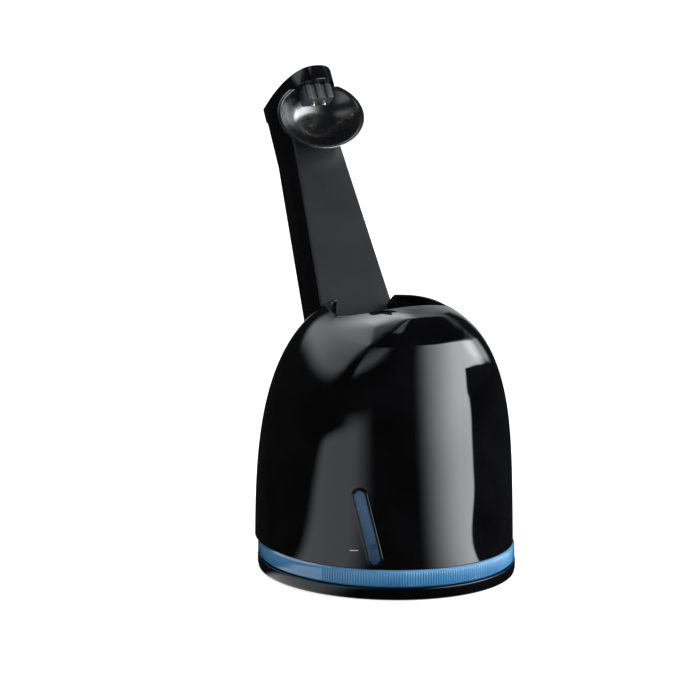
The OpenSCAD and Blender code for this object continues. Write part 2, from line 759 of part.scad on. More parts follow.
module tower_front_cover() {
    color("#3a3b40") tower_frame() difference() {
        tower_prism(0, 0, tower_wall, -tower_root, hood_under - 0.01);
        for (v = screw_v) translate([0, 0, v]) along_y(tower_wall - 1.2, tower_wall + 1, 1);
    }
}

module tower_rear_cover() {
    color("#111113") tower_frame() difference() {
        union() {
            difference() {
                tower_prism(side_out, tower_wall, tower_depth, -tower_root, hood_under - 0.01);
                tower_prism(side_out - tower_wall, tower_wall - 1, tower_depth - tower_wall, -tower_root + tower_wall,
                    hood_under + 1);
            }
            for (v = screw_v) translate([0, 0, v]) along_y(tower_wall, tower_depth - 1, 3);
        }
        for (v = screw_v) translate([0, 0, v]) {
            along_y(tower_wall - 1, tower_depth + 1, 1.3);
            along_y(tower_depth - head_sink, tower_depth + 1, 2.5);
        }
    }
}

module tower_screws() {
    color("silver") tower_frame() for (v = screw_v) translate([0, tower_depth - head_sink + 0.02, v])
        rotate([90, 0, 0]) pan_screw(1, 2, tower_depth - tower_wall - 2.2);
}

// Slab with a long oval nose, from height v0 to v1, drawn in by inset
hood_half = tower_half + side_out;
nose_start = 18;
nose_power = 2.47;
nose_steps = 28;
module hood_slab(inset, v0, v1) {
    r = hood_half - inset;
    nose = [for (i = [0 : nose_steps]) let (u = 180 * i / nose_steps)
        [r * spow(cos(u), 2 / nose_power),
         nose_start - (nose_start + hood_reach - inset) * spow(sin(u), 2 / nose_power)]];
    translate([0, 0, v0]) linear_extrude(v1 - v0)
        polygon(concat(nose, [[-r, tower_depth - inset], [r, tower_depth - inset]]));
}

hood_wall = 2;
module hood_cap() {
    color("#121214") tower_frame() difference() {
        hood_slab(0, hood_under, hood_top);
        hood_slab(hood_wall, hood_under - 1, hood_top - hood_wall);
    }
}

module hood_underside() {
    color("#1b1b1e") tower_frame() difference() {
        hood_slab(hood_wall + 0.1, hood_under, hood_under + 1.8);
        translate([-tower_half + 4, 4, hood_under - 1]) cube([2 * tower_half - 8, tower_depth - 10, 4]);
    }
}

block_front = 17;
block_back = 8.4;
pin_n = 12.7;
function dish_r(t) = dish_a * (0.3 + 0.7 * pow(t, 0.5));
dish_rings = 10;
module contact_dish() {
    outer = [for (i = [0 : dish_rings]) let (t = i / dish_rings) [dish_r(t), t * dish_depth]];
    inner = [for (i = [dish_rings : -1 : 0]) let (t = i / dish_rings)
        [dish_r(t) - dish_wall, t * dish_depth + (i == dish_rings ? 0 : dish_wall * (1 - t) + 0.1)]];
    color("#1a1a1d") tower_frame() difference() {
        translate([0, 0, dish_v]) rotate([90, 0, 0]) scale([1, dish_b / dish_a, 1])
            rotate_extrude() polygon(concat([[0, 0]], outer, inner, [[0, dish_wall + 0.1]]));
        translate([-body_w, -body_w, hood_under - gap]) cube(2 * body_w);
        translate([-block_w / 2 - gap, -block_front - 2, hood_under - block_h - gap])
            cube([block_w + 2 * gap, block_front - block_back + 2 + gap, 2 * block_h]);
    }
}

rib_w = 2.6;
module contact_block() {
    color("#4b4c52") tower_frame() difference() {
        union() {
            translate([-block_w / 2, -block_front, hood_under - block_h])
                cube([block_w, block_front - block_back, block_h]);
            for (i = [-1 : 1]) translate([i * block_w * 0.34 - rib_w / 2, -block_front - 0.9, hood_under - block_h])
                cube([rib_w, 2, block_h]);
        }
        for (x = [-1, 1]) translate([x * pin_half_gap, -pin_n, hood_under - block_h - 1])
            cylinder(r = pin_r + slip, h = block_h + 0.2);
    }
}

pin_out = 1.9;
pin_l = 5;
pin_tip = hood_under - block_h - pin_out;
module contact_pin(x) {
    color("gold") tower_frame() translate([x, -pin_n, pin_tip]) {
        cylinder(r1 = pin_r * 0.55, r2 = pin_r, h = 0.5);
        translate([0, 0, 0.5]) cylinder(r = pin_r, h = pin_l - 0.5);
    }
}

module contact_pin_left() { contact_pin(-pin_half_gap); }
module contact_pin_right() { contact_pin(pin_half_gap); }

spring_low = pin_tip + pin_l + pin_travel + 0.1;
spring_high = hood_under - 0.9;
module pin_springs() {
    color("silver") tower_frame() for (x = [-1, 1]) translate([x * pin_half_gap, -pin_n, spring_low])
        coil(pin_r - 0.35, 0.14, spring_high - spring_low, 3);
}

// Level window -----------------------------------------------------------------------------------
frame_back = 2.6;
module window_frame() {
    color("#0c0c0e") window_place() difference() {
        slot(frame_w, frame_l, -0.5, frame_back);
        slot(lens_w + 2 * slip, lens_l + 2 * slip, -1, 1.1);
        slot(lens_w - 1.2, lens_l - 1.2, -1, frame_back + 1);
    }
}

module level_lens() {
    color("#3f6f9f") window_place() slot(lens_w, lens_l, -0.3, 1.05);
}

channel_w = lens_w - 1.2;
guide_back = 5.4;
module pointer_guide() {
    color("#1a1c20") window_place() difference() {
        slot(frame_w, frame_l, frame_back, guide_back);
        slot(channel_w, lens_l - 1.2, frame_back - 1, guide_back - 0.8);
    }
}

pointer_w = channel_w - 2 * gap;
pointer_bar = -lens_l / 2 + 7.2;
pointer_low = -(lens_l - 1.2) / 2 + gap;
module level_pointer() {
    color("#16181c") window_place() {
        translate([-pointer_w / 2, 1.5, pointer_bar]) cube([pointer_w, 2.4, 1.8]);
        intersection() {
            slot(pointer_w, lens_l - 1.2 - 2 * gap, 2.4, guide_back - 0.8 - gap);
            translate([-pointer_w, 0, pointer_low - 1]) cube([2 * pointer_w, 20, pointer_bar - pointer_low + 2.4]);
        }
    }
}

// Lift button and latch --------------------------------------------------------------------------
button_out = 0.6;
button_tip = lever_y + 1.8;
stem_w = 8;
module lift_button() {
    color("#2c2d31") {
        translate([-button_w / 2, button_y - shell_wall - 1, button_z - button_h / 2])
            cube([button_w, shell_wall + 1 + button_out, button_h]);
        translate([-stem_w / 2, button_tip, button_z - 1]) cube([stem_w, button_y - shell_wall - button_tip, 2]);
    }
}

lever_x = 7.4;
lever_t = 3;
lever_top = button_z + 1;
module latch_lever() {
    color("#55585e") difference() {
        union() {
            translate([-lever_x, lever_y - lever_t / 2, tooth_z])
                cube([2 * lever_x, lever_t, lever_top - tooth_z]);
            translate([-lever_x, lever_y, pivot_z]) rotate([0, 90, 0]) cylinder(r = 3, h = 2 * lever_x);
            translate([-notch_half + 0.5, column_back - tooth, tooth_z])
                cube([2 * notch_half - 1, lever_y - column_back + tooth, 3]);
        }
        translate([-lever_x - 1, lever_y, pivot_z]) rotate([0, 90, 0]) cylinder(r = 1.5 + slip, h = 2 * lever_x + 2);
    }
}

module latch_pin() {
    color("silver") translate([-ear_x - ear_t - 0.5, lever_y, pivot_z]) rotate([0, 90, 0])
        cylinder(r = 1.5, h = 2 * (ear_x + ear_t) + 1);
}

spring_y = lever_y + lever_t / 2 + button_travel + 0.6;
spring_z = tooth_z + 2.6;
module latch_spring() {
    color("silver") translate([0, spring_y, spring_z]) rotate([-90, 0, 0])
        coil(2, 0.2, dome_rear(spring_z) - shell_wall - spring_y - 0.4, 2);
}

base_tray();
rubber_feet();
base_screws();
guide_column();
cartridge_tub();
cartridge_lid();
port_seals();
front_shell();
rear_shell();
shell_screws();
deck_plate();
docking_bowl();
drain_tube();
lift_carriage();
carriage_screws();
pump_housing();
pump_motor();
pump_rotor();
suction_tube();
supply_tube();
circuit_board();
board_parts();
power_socket();
socket_pins();
tower_bracket();
tower_front_cover();
tower_rear_cover();
tower_screws();
hood_cap();
hood_underside();
contact_dish();
contact_block();
contact_pin_left();
contact_pin_right();
pin_springs();
window_frame();
level_lens();
pointer_guide();
level_pointer();
lift_button();
latch_lever();
latch_pin();
latch_spring();
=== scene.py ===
"""The looks of the shaver cleaning station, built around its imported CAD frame."""

import logging
import math
from dataclasses import dataclass
from enum import Enum
from typing import Callable, Iterable, Sequence

import bpy
import numpy as np
from mathutils import Matrix, Vector


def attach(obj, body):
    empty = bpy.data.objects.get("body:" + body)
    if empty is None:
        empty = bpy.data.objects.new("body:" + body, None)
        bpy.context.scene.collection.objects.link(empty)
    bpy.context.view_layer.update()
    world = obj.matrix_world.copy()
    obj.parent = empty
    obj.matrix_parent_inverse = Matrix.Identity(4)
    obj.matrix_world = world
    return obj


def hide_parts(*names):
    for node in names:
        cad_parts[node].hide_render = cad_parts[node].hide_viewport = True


LOG = logging.getLogger("station")
MM = 0.001
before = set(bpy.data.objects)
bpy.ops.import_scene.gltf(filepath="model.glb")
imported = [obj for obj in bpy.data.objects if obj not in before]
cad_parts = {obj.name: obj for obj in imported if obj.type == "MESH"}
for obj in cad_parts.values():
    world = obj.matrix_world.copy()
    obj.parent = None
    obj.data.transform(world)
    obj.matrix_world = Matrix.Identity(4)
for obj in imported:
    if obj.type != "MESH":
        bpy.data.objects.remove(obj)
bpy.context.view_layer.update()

Colour = tuple[float, float, float]
Point = tuple[float, float, float]


# Shader wiring ----------------------------------------------------------------------------------
class Wire:
    """A shader output that adds Math nodes when it is used in an expression."""

    def __init__(self, graph: "Graph", socket: bpy.types.NodeSocket) -> None:
        """Keeps the graph that the socket is part of."""
        self.graph = graph
        self.socket = socket

    def _math(self, operation: str, first: object, second: object = None) -> "Wire":
        """Adds one Math node.

        Args:
            operation: the node's operation.
            first: the first value or wire.
            second: the second value or wire, if it has one.

        Returns:
            The node's value.
        """
        values = {0: first} if second is None else {0: first, 1: second}
        return self.graph.node("ShaderNodeMath", {"operation": operation}, values)

    def __add__(self, other: object) -> "Wire":
        """self + other"""
        return self._math("ADD", self, other)

    __radd__ = __add__

    def __sub__(self, other: object) -> "Wire":
        """self - other"""
        return self._math("SUBTRACT", self, other)

    def __rsub__(self, other: object) -> "Wire":
        """other - self"""
        return self._math("SUBTRACT", other, self)

    def __mul__(self, other: object) -> "Wire":
        """self * other"""
        return self._math("MULTIPLY", self, other)

    __rmul__ = __mul__

    def __truediv__(self, other: object) -> "Wire":
        """self / other"""
        return self._math("DIVIDE", self, other)

    def __pow__(self, other: object) -> "Wire":
        """self ** other"""
        return self._math("POWER", self, other)

    def clamp(self) -> "Wire":
        """self, kept between 0 and 1"""
        return self._math("MINIMUM", self._math("MAXIMUM", self, 0.0), 1.0)


class Graph:
    """The node tree of one material or world."""

    def __init__(self, tree: bpy.types.NodeTree) -> None:
        """Starts from an empty tree."""
        self.tree = tree
        tree.nodes.clear()

    def node(self, kind: str, settings: dict, inputs: dict, output: str | int = 0) -> Wire:
        """Adds a node.

        Args:
            kind: the node's type.
            settings: its properties, which are set first.
            inputs: values or wires by socket name or number.
            output: the name or number of the wanted output.

        Returns:
            That output.
        """
        made = self.tree.nodes.new(kind)
        for name, value in settings.items():
            setattr(made, name, value)
        for name, value in inputs.items():
            socket = made.inputs[name]
            if isinstance(value, Wire):
                self.tree.links.new(value.socket, socket)
            elif socket.type == "RGBA" and len(value) == 3:
                socket.default_value = (*value, 1.0)
            else:
                socket.default_value = value
        return Wire(self, made.outputs[output])

    def place(self) -> Wire:
        """Object coordinates, in metres."""
        return self.node("ShaderNodeTexCoord", {}, {}, "Object")

    def split(self, vector: Wire) -> tuple[Wire, Wire, Wire]:
        """The three parts of a vector."""
        made = self.tree.nodes.new("ShaderNodeSeparateXYZ")
        self.tree.links.new(vector.socket, made.inputs[0])
        return tuple(Wire(self, made.outputs[i]) for i in range(3))

    def noise(self, scale: float, detail: float = 3.0, rough: float = 0.5, at: Wire | None = None) -> Wire:
        """Noise between about 0.3 and 0.7, by scale per metre."""
        inputs = {"Vector": at or self.place(), "Scale": scale, "Detail": detail, "Roughness": rough}
        return self.node("ShaderNodeTexNoise", {}, inputs)

    def stretch(self, scale: Point) -> Wire:
        """Object coordinates, scaled along each axis."""
        return self.node("ShaderNodeMapping", {}, {"Vector": self.place(), "Scale": scale})

    def blend(self, share: object, first: object, second: object) -> Wire:
        """A colour between two colours.

        Args:
            share: the second colour's share.
            first: the first colour.
            second: the second colour.

        Returns:
            The mixed colour.
        """
        made = self.tree.nodes.new("ShaderNodeMix")
        made.data_type = "RGBA"
        sockets = {s.identifier: s for s in made.inputs}
        for name, value in (("Factor_Float", share), ("A_Color", first), ("B_Color", second)):
            if isinstance(value, Wire):
                self.tree.links.new(value.socket, sockets[name])
            elif name == "Factor_Float":
                sockets[name].default_value = value
            else:
                sockets[name].default_value = (*value, 1.0)
        return Wire(self, [s for s in made.outputs if s.identifier == "Result_Color"][0])

    def bump(self, height: Wire, distance: float) -> Wire:
        """A normal from a height between 0 and 1 that stands distance metres tall."""
        inputs = {"Height": height, "Distance": distance, "Strength": 1.0}
        return self.node("ShaderNodeBump", {}, inputs)

    def principled(self, inputs: dict) -> Wire:
        """The surface shader."""
        return self.node("ShaderNodeBsdfPrincipled", {}, inputs)

    def seen_ray(self) -> Wire:
        """1 for the rays that show a thing to the eye: straight, by gloss or through a clear piece."""
        rays = self.tree.nodes.new("ShaderNodeLightPath")
        straight, gloss, through = (Wire(self, rays.outputs[f"Is {kind} Ray"])
                                    for kind in ("Camera", "Glossy", "Transmission"))
        return (straight + gloss + through).clamp()

    def output(self, surface: Wire, kind: str = "ShaderNodeOutputMaterial") -> None:
        """Ends the tree in its output."""
        made = self.tree.nodes.new(kind)
        self.tree.links.new(surface.socket, made.inputs["Surface"])


def material(name: str, build: Callable[[Graph], Wire]) -> bpy.types.Material:
    """Makes a material.

    Args:
        name: its name.
        build: a function that adds the nodes and returns the shader.

    Returns:
        The material.
    """
    made = bpy.data.materials.new(name)
    made.use_nodes = True
    graph = Graph(made.node_tree)
    graph.output(build(graph))
    return made


# Finishes ---------------------------------------------------------------------------------------
@dataclass(frozen=True)
class MouldedPlastic:
    """Injection-moulded plastic, from polished to satin."""

    name: str
    colour: Colour
    roughness: float
    gloss: float = 0.5
    mottle: float = 0.12
    grain: float = 0.0
    grain_scale: float = 2600.0
    orange_peel: float = 0.0
    coat: float = 0.0

    def make(self) -> bpy.types.Material:
        """Builds the material."""

        def build(g: Graph) -> Wire:
            """Adds the nodes and returns the shader."""
            cloud = g.noise(38.0, 2.0)
            fine = g.noise(self.grain_scale, 2.0, 0.6)
            darker = tuple(c * (1 - self.mottle) for c in self.colour)
            lighter = tuple(min(1.0, c * (1 + self.mottle) + 0.0006) for c in self.colour)
            shade = g.blend(((cloud - 0.5) * 3.0 + 0.5).clamp(), darker, lighter)
            smear = g.noise(160.0, 4.0, 0.6)
            rough = (smear - 0.5) * (0.25 * self.roughness + 0.02) + self.roughness
            inputs = {"Base Color": shade, "Roughness": rough, "Specular IOR Level": self.gloss,
                      "Coat Weight": self.coat, "Coat Roughness": 0.03}
            if self.grain > 0 or self.orange_peel > 0:
                height = fine * self.grain + g.noise(420.0, 1.0) * self.orange_peel
                inputs["Normal"] = g.bump(height, 1.0)
            return g.principled(inputs)

        return material(self.name, build)


@dataclass(frozen=True)
class TintedPlastic:
    """Coloured plastic with painted light: its colour lightens with height as if its top were lit;
    see-through where its cover is below 1.
    """

    name: str
    deep: Colour
    light: Colour
    low: float
    high: float
    roughness: float = 0.12
    cover: float = 1.0

    def make(self) -> bpy.types.Material:
        """Builds the material: the colour lightens from the height low to the height high, a painted light on
        the upper part.
        """

        def build(g: Graph) -> Wire:
            """Adds the nodes and returns the shader."""
            _, _, z = g.split(g.place())
            # painted light: deep is the painted shaded lower colour, light the painted lit upper colour; the
            # noise adds random tone
            rise = ((z - self.low) * (1.0 / (self.high - self.low))).clamp()
            cloud = ((g.noise(60.0, 2.0) - 0.5) * 1.2 + rise).clamp()
            shade = g.blend(cloud, self.deep, self.light)
            inputs = {"Base Color": shade, "Roughness": (g.noise(300.0) - 0.5) * 0.05 + self.roughness,
                      "Specular IOR Level": 0.5, "Coat Weight": 0.6, "Coat Roughness": 0.04,
                      "Alpha": self.cover}
            return g.principled(inputs)

        return material(self.name, build)


@dataclass(frozen=True)
class Metal:
    """Plain or plated metal with fine turning or drawing marks."""

    name: str
    colour: Colour
    roughness: float
    marks: Point = (2500.0, 2500.0, 120.0)
    depth: float = 0.000004

    def make(self) -> bpy.types.Material:
        """Builds the material."""

        def build(g: Graph) -> Wire:
            """Adds the nodes and returns the shader."""
            lines = g.noise(1.0, 2.0, 0.5, g.stretch(self.marks))
            stain = g.noise(90.0, 3.0)
            dull = tuple(c * 0.78 for c in self.colour)
            inputs = {"Base Color": g.blend(((stain - 0.45) * 4.0).clamp(), self.colour, dull),
                      "Metallic": 1.0, "Roughness": (lines - 0.5) * 0.25 + self.roughness,
                      "Normal": g.bump(lines, self.depth)}
            return g.principled(inputs)

        return material(self.name, build)


@dataclass(frozen=True)
class Rubber:
    """Matt moulded rubber with a fine grain."""

    name: str
    colour: Colour

    def make(self) -> bpy.types.Material:
        """Builds the material."""

        def build(g: Graph) -> Wire:
            """Adds the nodes and returns the shader."""
            grain = g.noise(1800.0, 3.0, 0.6)
            dust = ((g.noise(55.0, 4.0) - 0.5) * 3.0).clamp()
            pale = tuple(c * 1.35 + 0.012 for c in self.colour)
            inputs = {"Base Color": g.blend(dust, self.colour, pale), "Roughness": grain * 0.2 + 0.62,
                      "Specular IOR Level": 0.35, "Normal": g.bump(grain, 0.00002)}
            return g.principled(inputs)

        return material(self.name, build)


@dataclass(frozen=True)
class BoardLacquer:
    """Green solder lacquer over copper tracks."""

    name: str

    def make(self) -> bpy.types.Material:
        """Builds the material."""

        def build(g: Graph) -> Wire:
            """Adds the nodes and returns the shader."""
            tracks = g.node("ShaderNodeTexBrick", {"offset": 0.37}, {
                "Vector": g.stretch((1.0, 1.0, 0.0)), "Scale": 210.0, "Mortar Size": 0.06,
                "Color1": (0.012, 0.11, 0.035), "Color2": (0.016, 0.13, 0.04),
                "Mortar": (0.035, 0.22, 0.07)})
            inputs = {"Base Color": tracks, "Roughness": g.noise(500.0) * 0.15 + 0.24,
                      "Normal": g.bump(g.noise(900.0), 0.00002)}
            return g.principled(inputs)

        return material(self.name, build)


class Finish(Enum):
    """The finishes of the station, each with what builds it."""

    BLACK_GLOSS = MouldedPlastic("gloss_black_plastic", (0.0022, 0.0022, 0.0026), 0.035, 0.5, 0.3,
                                 orange_peel=0.0000012)
    BASE_BLACK = MouldedPlastic("base_black_plastic", (0.0022, 0.0022, 0.0027), 0.09, 0.42, 0.3,
                                orange_peel=0.000002)
    TOWER_BLACK = MouldedPlastic("tower_black_plastic", (0.003, 0.003, 0.0035), 0.09, 0.45, 0.3,
                                 orange_peel=0.0000015)
    TOWER_GREY = MouldedPlastic("tower_grey_plastic", (0.024, 0.025, 0.028), 0.30, 0.5, 0.15,
                                grain=0.000012)
    CONTACT_GREY = MouldedPlastic("contact_grey_plastic", (0.045, 0.046, 0.05), 0.52, 0.4, 0.2,
                                  grain=0.00003, grain_scale=1900.0)
    BOWL_BLACK = MouldedPlastic("bowl_black_plastic", (0.006, 0.0062, 0.007), 0.2, 0.5, 0.25,
                                orange_peel=0.000003)
    DISH_BLACK = MouldedPlastic("dish_gloss_black", (0.006, 0.006, 0.0065), 0.27, 1.0, 0.25,
                                orange_peel=0.000001, coat=0.5)
    # the three tinted blues carry painted light: each lightens from its low height to its high height
    CARTRIDGE_BLUE = TintedPlastic("cartridge_blue_plastic", (0.045, 0.20, 0.42), (0.12, 0.35, 0.60),
                                   0.006, 0.0146, 0.10)
    LID_BLUE = TintedPlastic("cartridge_lid_blue", (0.035, 0.13, 0.33), (0.08, 0.25, 0.5), 0.0, 0.05, 0.25)
    LENS_BLUE = TintedPlastic("window_blue_lens", (0.05, 0.14, 0.28), (0.09, 0.20, 0.36), 0.016, 0.05,
                              0.08, 0.3)
    POINTER_VIOLET = MouldedPlastic("pointer_violet_plastic", (0.085, 0.08, 0.15), 0.35, 0.5, 0.15)
    CHANNEL_BLUE = MouldedPlastic("channel_blue_grey", (0.16, 0.33, 0.55), 0.4, 0.5, 0.2, grain=0.00001)
    RUBBER = Rubber("foot_rubber", (0.022, 0.022, 0.023))
    SEAL_GREY = Rubber("seal_rubber", (0.16, 0.165, 0.17))
    STEEL = Metal("screw_steel", (0.58, 0.58, 0.60), 0.28)
    CONTACT_METAL = Metal("contact_plating", (0.83, 0.74, 0.55), 0.2)
    INNER_GREY = MouldedPlastic("inner_grey_plastic", (0.028, 0.03, 0.034), 0.42, 0.5, 0.18, grain=0.00002)
    TUBE_GREY = MouldedPlastic("tube_milky_plastic", (0.22, 0.235, 0.25), 0.3, 0.5, 0.1, grain=0.00001)
    BOARD_GREEN = BoardLacquer("board_green_lacquer")
    PARTS_DARK = MouldedPlastic("component_epoxy", (0.02, 0.02, 0.022), 0.45, 0.4, 0.3, grain=0.00002)
    MOTOR_TIN = Metal("motor_tinplate", (0.55, 0.56, 0.58), 0.33, (900.0, 900.0, 60.0))
    TICK_WHITE = MouldedPlastic("printed_tick_white", (0.55, 0.56, 0.58), 0.4, 0.4, 0.06, grain=0.00001)


_made: dict[Finish, bpy.types.Material] = {}


def material_of(finish: Finish) -> bpy.types.Material:
    """The material of a finish, which is built when it is first asked for."""
    if finish not in _made:
        _made[finish] = finish.value.make()
    return _made[finish]


def dress(piece: bpy.types.Object, finish: Finish) -> None:
    """Gives a piece one finish all over."""
    piece.data.materials.clear()
    piece.data.materials.append(material_of(finish))


# Mesh tools -------------------------------------------------------------------------------------
def clear_selection() -> None:
    """Leaves edit mode and deselects every object."""
    if bpy.context.object and bpy.context.object.mode != "OBJECT":
        bpy.ops.object.mode_set(mode="OBJECT")
    for other in bpy.context.selected_objects:
        other.select_set(False)


def only(piece: bpy.types.Object) -> None:
    """Makes a piece the only selected and the active object."""
    clear_selection()
    piece.select_set(True)
    bpy.context.view_layer.objects.active = piece


def settle(piece: bpy.types.Object) -> bpy.types.Object:
    """Puts a piece's place, turn and scale into its mesh."""
    only(piece)
    bpy.ops.object.transform_apply(location=True, rotation=True, scale=True)
    return piece


def close_normals(piece: bpy.types.Object, threshold: float = 1e-6) -> None:
    """Merges doubles and turns all faces outwards."""
    only(piece)
    bpy.ops.object.mode_set(mode="EDIT")
    bpy.ops.mesh.select_all(action="SELECT")
    bpy.ops.mesh.remove_doubles(threshold=threshold)
    bpy.ops.mesh.normals_make_consistent(inside=False)
    bpy.ops.object.mode_set(mode="OBJECT")


def smooth(piece: bpy.types.Object, degrees: float = 35.0) -> None:
    """Shades a piece smooth, with edges above an angle left sharp."""
    only(piece)
    bpy.ops.object.shade_smooth_by_angle(angle=math.radians(degrees))


def add_modifier(piece: bpy.types.Object, kind: str, **settings: object) -> None:
    """Adds a modifier with its settings and applies it."""
    only(piece)
    made = piece.modifiers.new(kind.lower(), kind)
    for name, value in settings.items():
        setattr(made, name, value)
    bpy.ops.object.modifier_apply(modifier=made.name)


def bevel(piece: bpy.types.Object, width: float, segments: int = 3, degrees: float = 50.0) -> None:
    """Rounds the edges of a piece that are sharper than an angle, by a width in millimetres."""
    add_modifier(piece, "BEVEL", width=width * MM, segments=segments, limit_method="ANGLE",
                 angle_limit=math.radians(degrees), use_clamp_overlap=True, harden_normals=False)


def cut(piece: bpy.types.Object, tool: bpy.types.Object, mode: str = "DIFFERENCE",
        solver: str = "MANIFOLD") -> None:
    """Cuts a piece with a tool, which is then removed.

    Args:
        piece: what is cut.
        tool: the closed cutting shape.
        mode: DIFFERENCE, INTERSECT or UNION.
        solver: the boolean solver.
    """
    add_modifier(piece, "BOOLEAN", object=tool, operation=mode, solver=solver)
    bpy.data.objects.remove(tool, do_unlink=True)


def cube(name: str, low: Point, high: Point) -> bpy.types.Object:
    """Adds a block.

    Args:
        name: its name.
        low: its lowest corner, in millimetres.
        high: its highest corner.

    Returns:
        The block.
    """
    clear_selection()
    low, high = [v * MM for v in low], [v * MM for v in high]
    centre = [(a + b) / 2 for a, b in zip(low, high)]
    bpy.ops.mesh.primitive_cube_add(size=1, location=centre)
    made = bpy.context.object
    made.name = name
    made.scale = [b - a for a, b in zip(low, high)]
    return settle(made)


def cylinder(name: str, radius: float, low: float, high: float, sides: int = 48,
             middle: tuple[float, float] = (0.0, 0.0)) -> bpy.types.Object:
    """Adds an upright cylinder.

    Args:
        name: its name.
        radius: its radius, in millimetres.
        low: the height of its foot.
        high: the height of its top.
        sides: how many sides it has.
        middle: where its axis stands.

    Returns:
        The cylinder.
    """
    clear_selection()
    low, high = low * MM, high * MM
    bpy.ops.mesh.primitive_cylinder_add(radius=radius * MM, depth=high - low, vertices=sides,
                                        location=(middle[0] * MM, middle[1] * MM, (low + high) / 2))
    made = bpy.context.object
    made.name = name
    return settle(made)


def sheet_from(name: str, columns: int, rows: int,
               shape: Callable[[np.ndarray, np.ndarray], np.ndarray]) -> bpy.types.Object:
    """A grid primitive whose points are moved onto a surface.

    Args:
        name: the piece's name.
        columns: segments along s.
        rows: segments along t.
        shape: gives the points for s and t, each from 0 to 1, as an n by 3 array in metres.

    Returns:
        The open surface.
    """
    clear_selection()
    bpy.ops.mesh.primitive_grid_add(x_subdivisions=columns, y_subdivisions=rows, size=2)
    made = bpy.context.object
    made.name = name
    points = np.zeros(len(made.data.vertices) * 3)
    made.data.vertices.foreach_get("co", points)
    points = points.reshape(-1, 3)
    placed = shape((points[:, 0] + 1) / 2, (points[:, 1] + 1) / 2)
    made.data.vertices.foreach_set("co", np.asarray(placed, float).ravel())
    made.data.update()
    return made


def fill_rings(piece: bpy.types.Object) -> None:
    """Closes each open edge loop of a piece with a face."""
    only(piece)
    bpy.ops.object.mode_set(mode="EDIT")
    bpy.ops.mesh.select_all(action="DESELECT")
    bpy.ops.mesh.select_mode(type="EDGE")
    bpy.ops.mesh.select_non_manifold(extend=False, use_boundary=True, use_wire=False,
                                     use_multi_face=False, use_non_contiguous=False, use_verts=False)
    bpy.ops.mesh.edge_face_add()
    bpy.ops.mesh.select_mode(type="VERT")
    bpy.ops.object.mode_set(mode="OBJECT")


def extrude_outline(name: str, outline: Sequence[tuple[float, float]], low: float, high: float,
                    place: Matrix | None = None) -> bpy.types.Object:
    """A prism from a closed outline.

    Args:
        name: the piece's name.
        outline: its corners in the plane, in millimetres.
        low: the first height.
        high: the second height.
        place: where the plane lies, if not on the floor.

    Returns:
        The closed prism.
    """
    clear_selection()
    low, high = low * MM, high * MM
    bpy.ops.mesh.primitive_circle_add(vertices=len(outline), radius=1, fill_type="NGON")
    made = bpy.context.object
    made.name = name
    for vertex, (x, y) in zip(made.data.vertices, outline):
        vertex.co = (x * MM, y * MM, low)
    only(made)
    bpy.ops.object.mode_set(mode="EDIT")
    bpy.ops.mesh.select_all(action="SELECT")
    bpy.ops.mesh.extrude_region_move(TRANSFORM_OT_translate={"value": (0, 0, high - low)})
    bpy.ops.mesh.select_all(action="SELECT")
    bpy.ops.mesh.normals_make_consistent(inside=False)
    bpy.ops.object.mode_set(mode="OBJECT")
    if place is not None:
        made.data.transform(place)
    return made


def rows_at(table: np.ndarray, t: np.ndarray) -> np.ndarray:
    """The rows of a table that a grid's t, from 0 to 1, falls on."""
    return table[np.round(t * (len(table) - 1)).astype(int)]


def join(name: str, parts: Iterable[bpy.types.Object]) -> bpy.types.Object:
    """Joins several objects into one.

    Args:
        name: the name of the whole.
        parts: the objects.

    Returns:
        The whole.
    """
    parts = list(parts)
    only(parts[0])
    for part in parts:
        part.select_set(True)
    bpy.ops.object.join()
    made = bpy.context.object
    made.name = name
    return made


def seat(piece: bpy.types.Object, body: str, slot: str, *nodes: str) -> bpy.types.Object:
    """Makes a piece ride on its body and hides the nodes that it stands for.

    Args:
        piece: the finished piece.
        body: the body that it moves with.
        slot: the record's material slot; not used.
        nodes: the CAD nodes that it stands for, if any.

    Returns:
        The piece.
    """
    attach(piece, body)
    if nodes:
        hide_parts(*nodes)
    LOG.info("%s: %d faces on %s", piece.name, len(piece.data.polygons), body)
    return piece


# The dome's outline -------------------------------------------------------------------------------
def signed_power(value: np.ndarray, power: np.ndarray | float) -> np.ndarray:
    """The power of a value, with its sign kept."""
    return np.sign(value) * np.abs(value) ** power


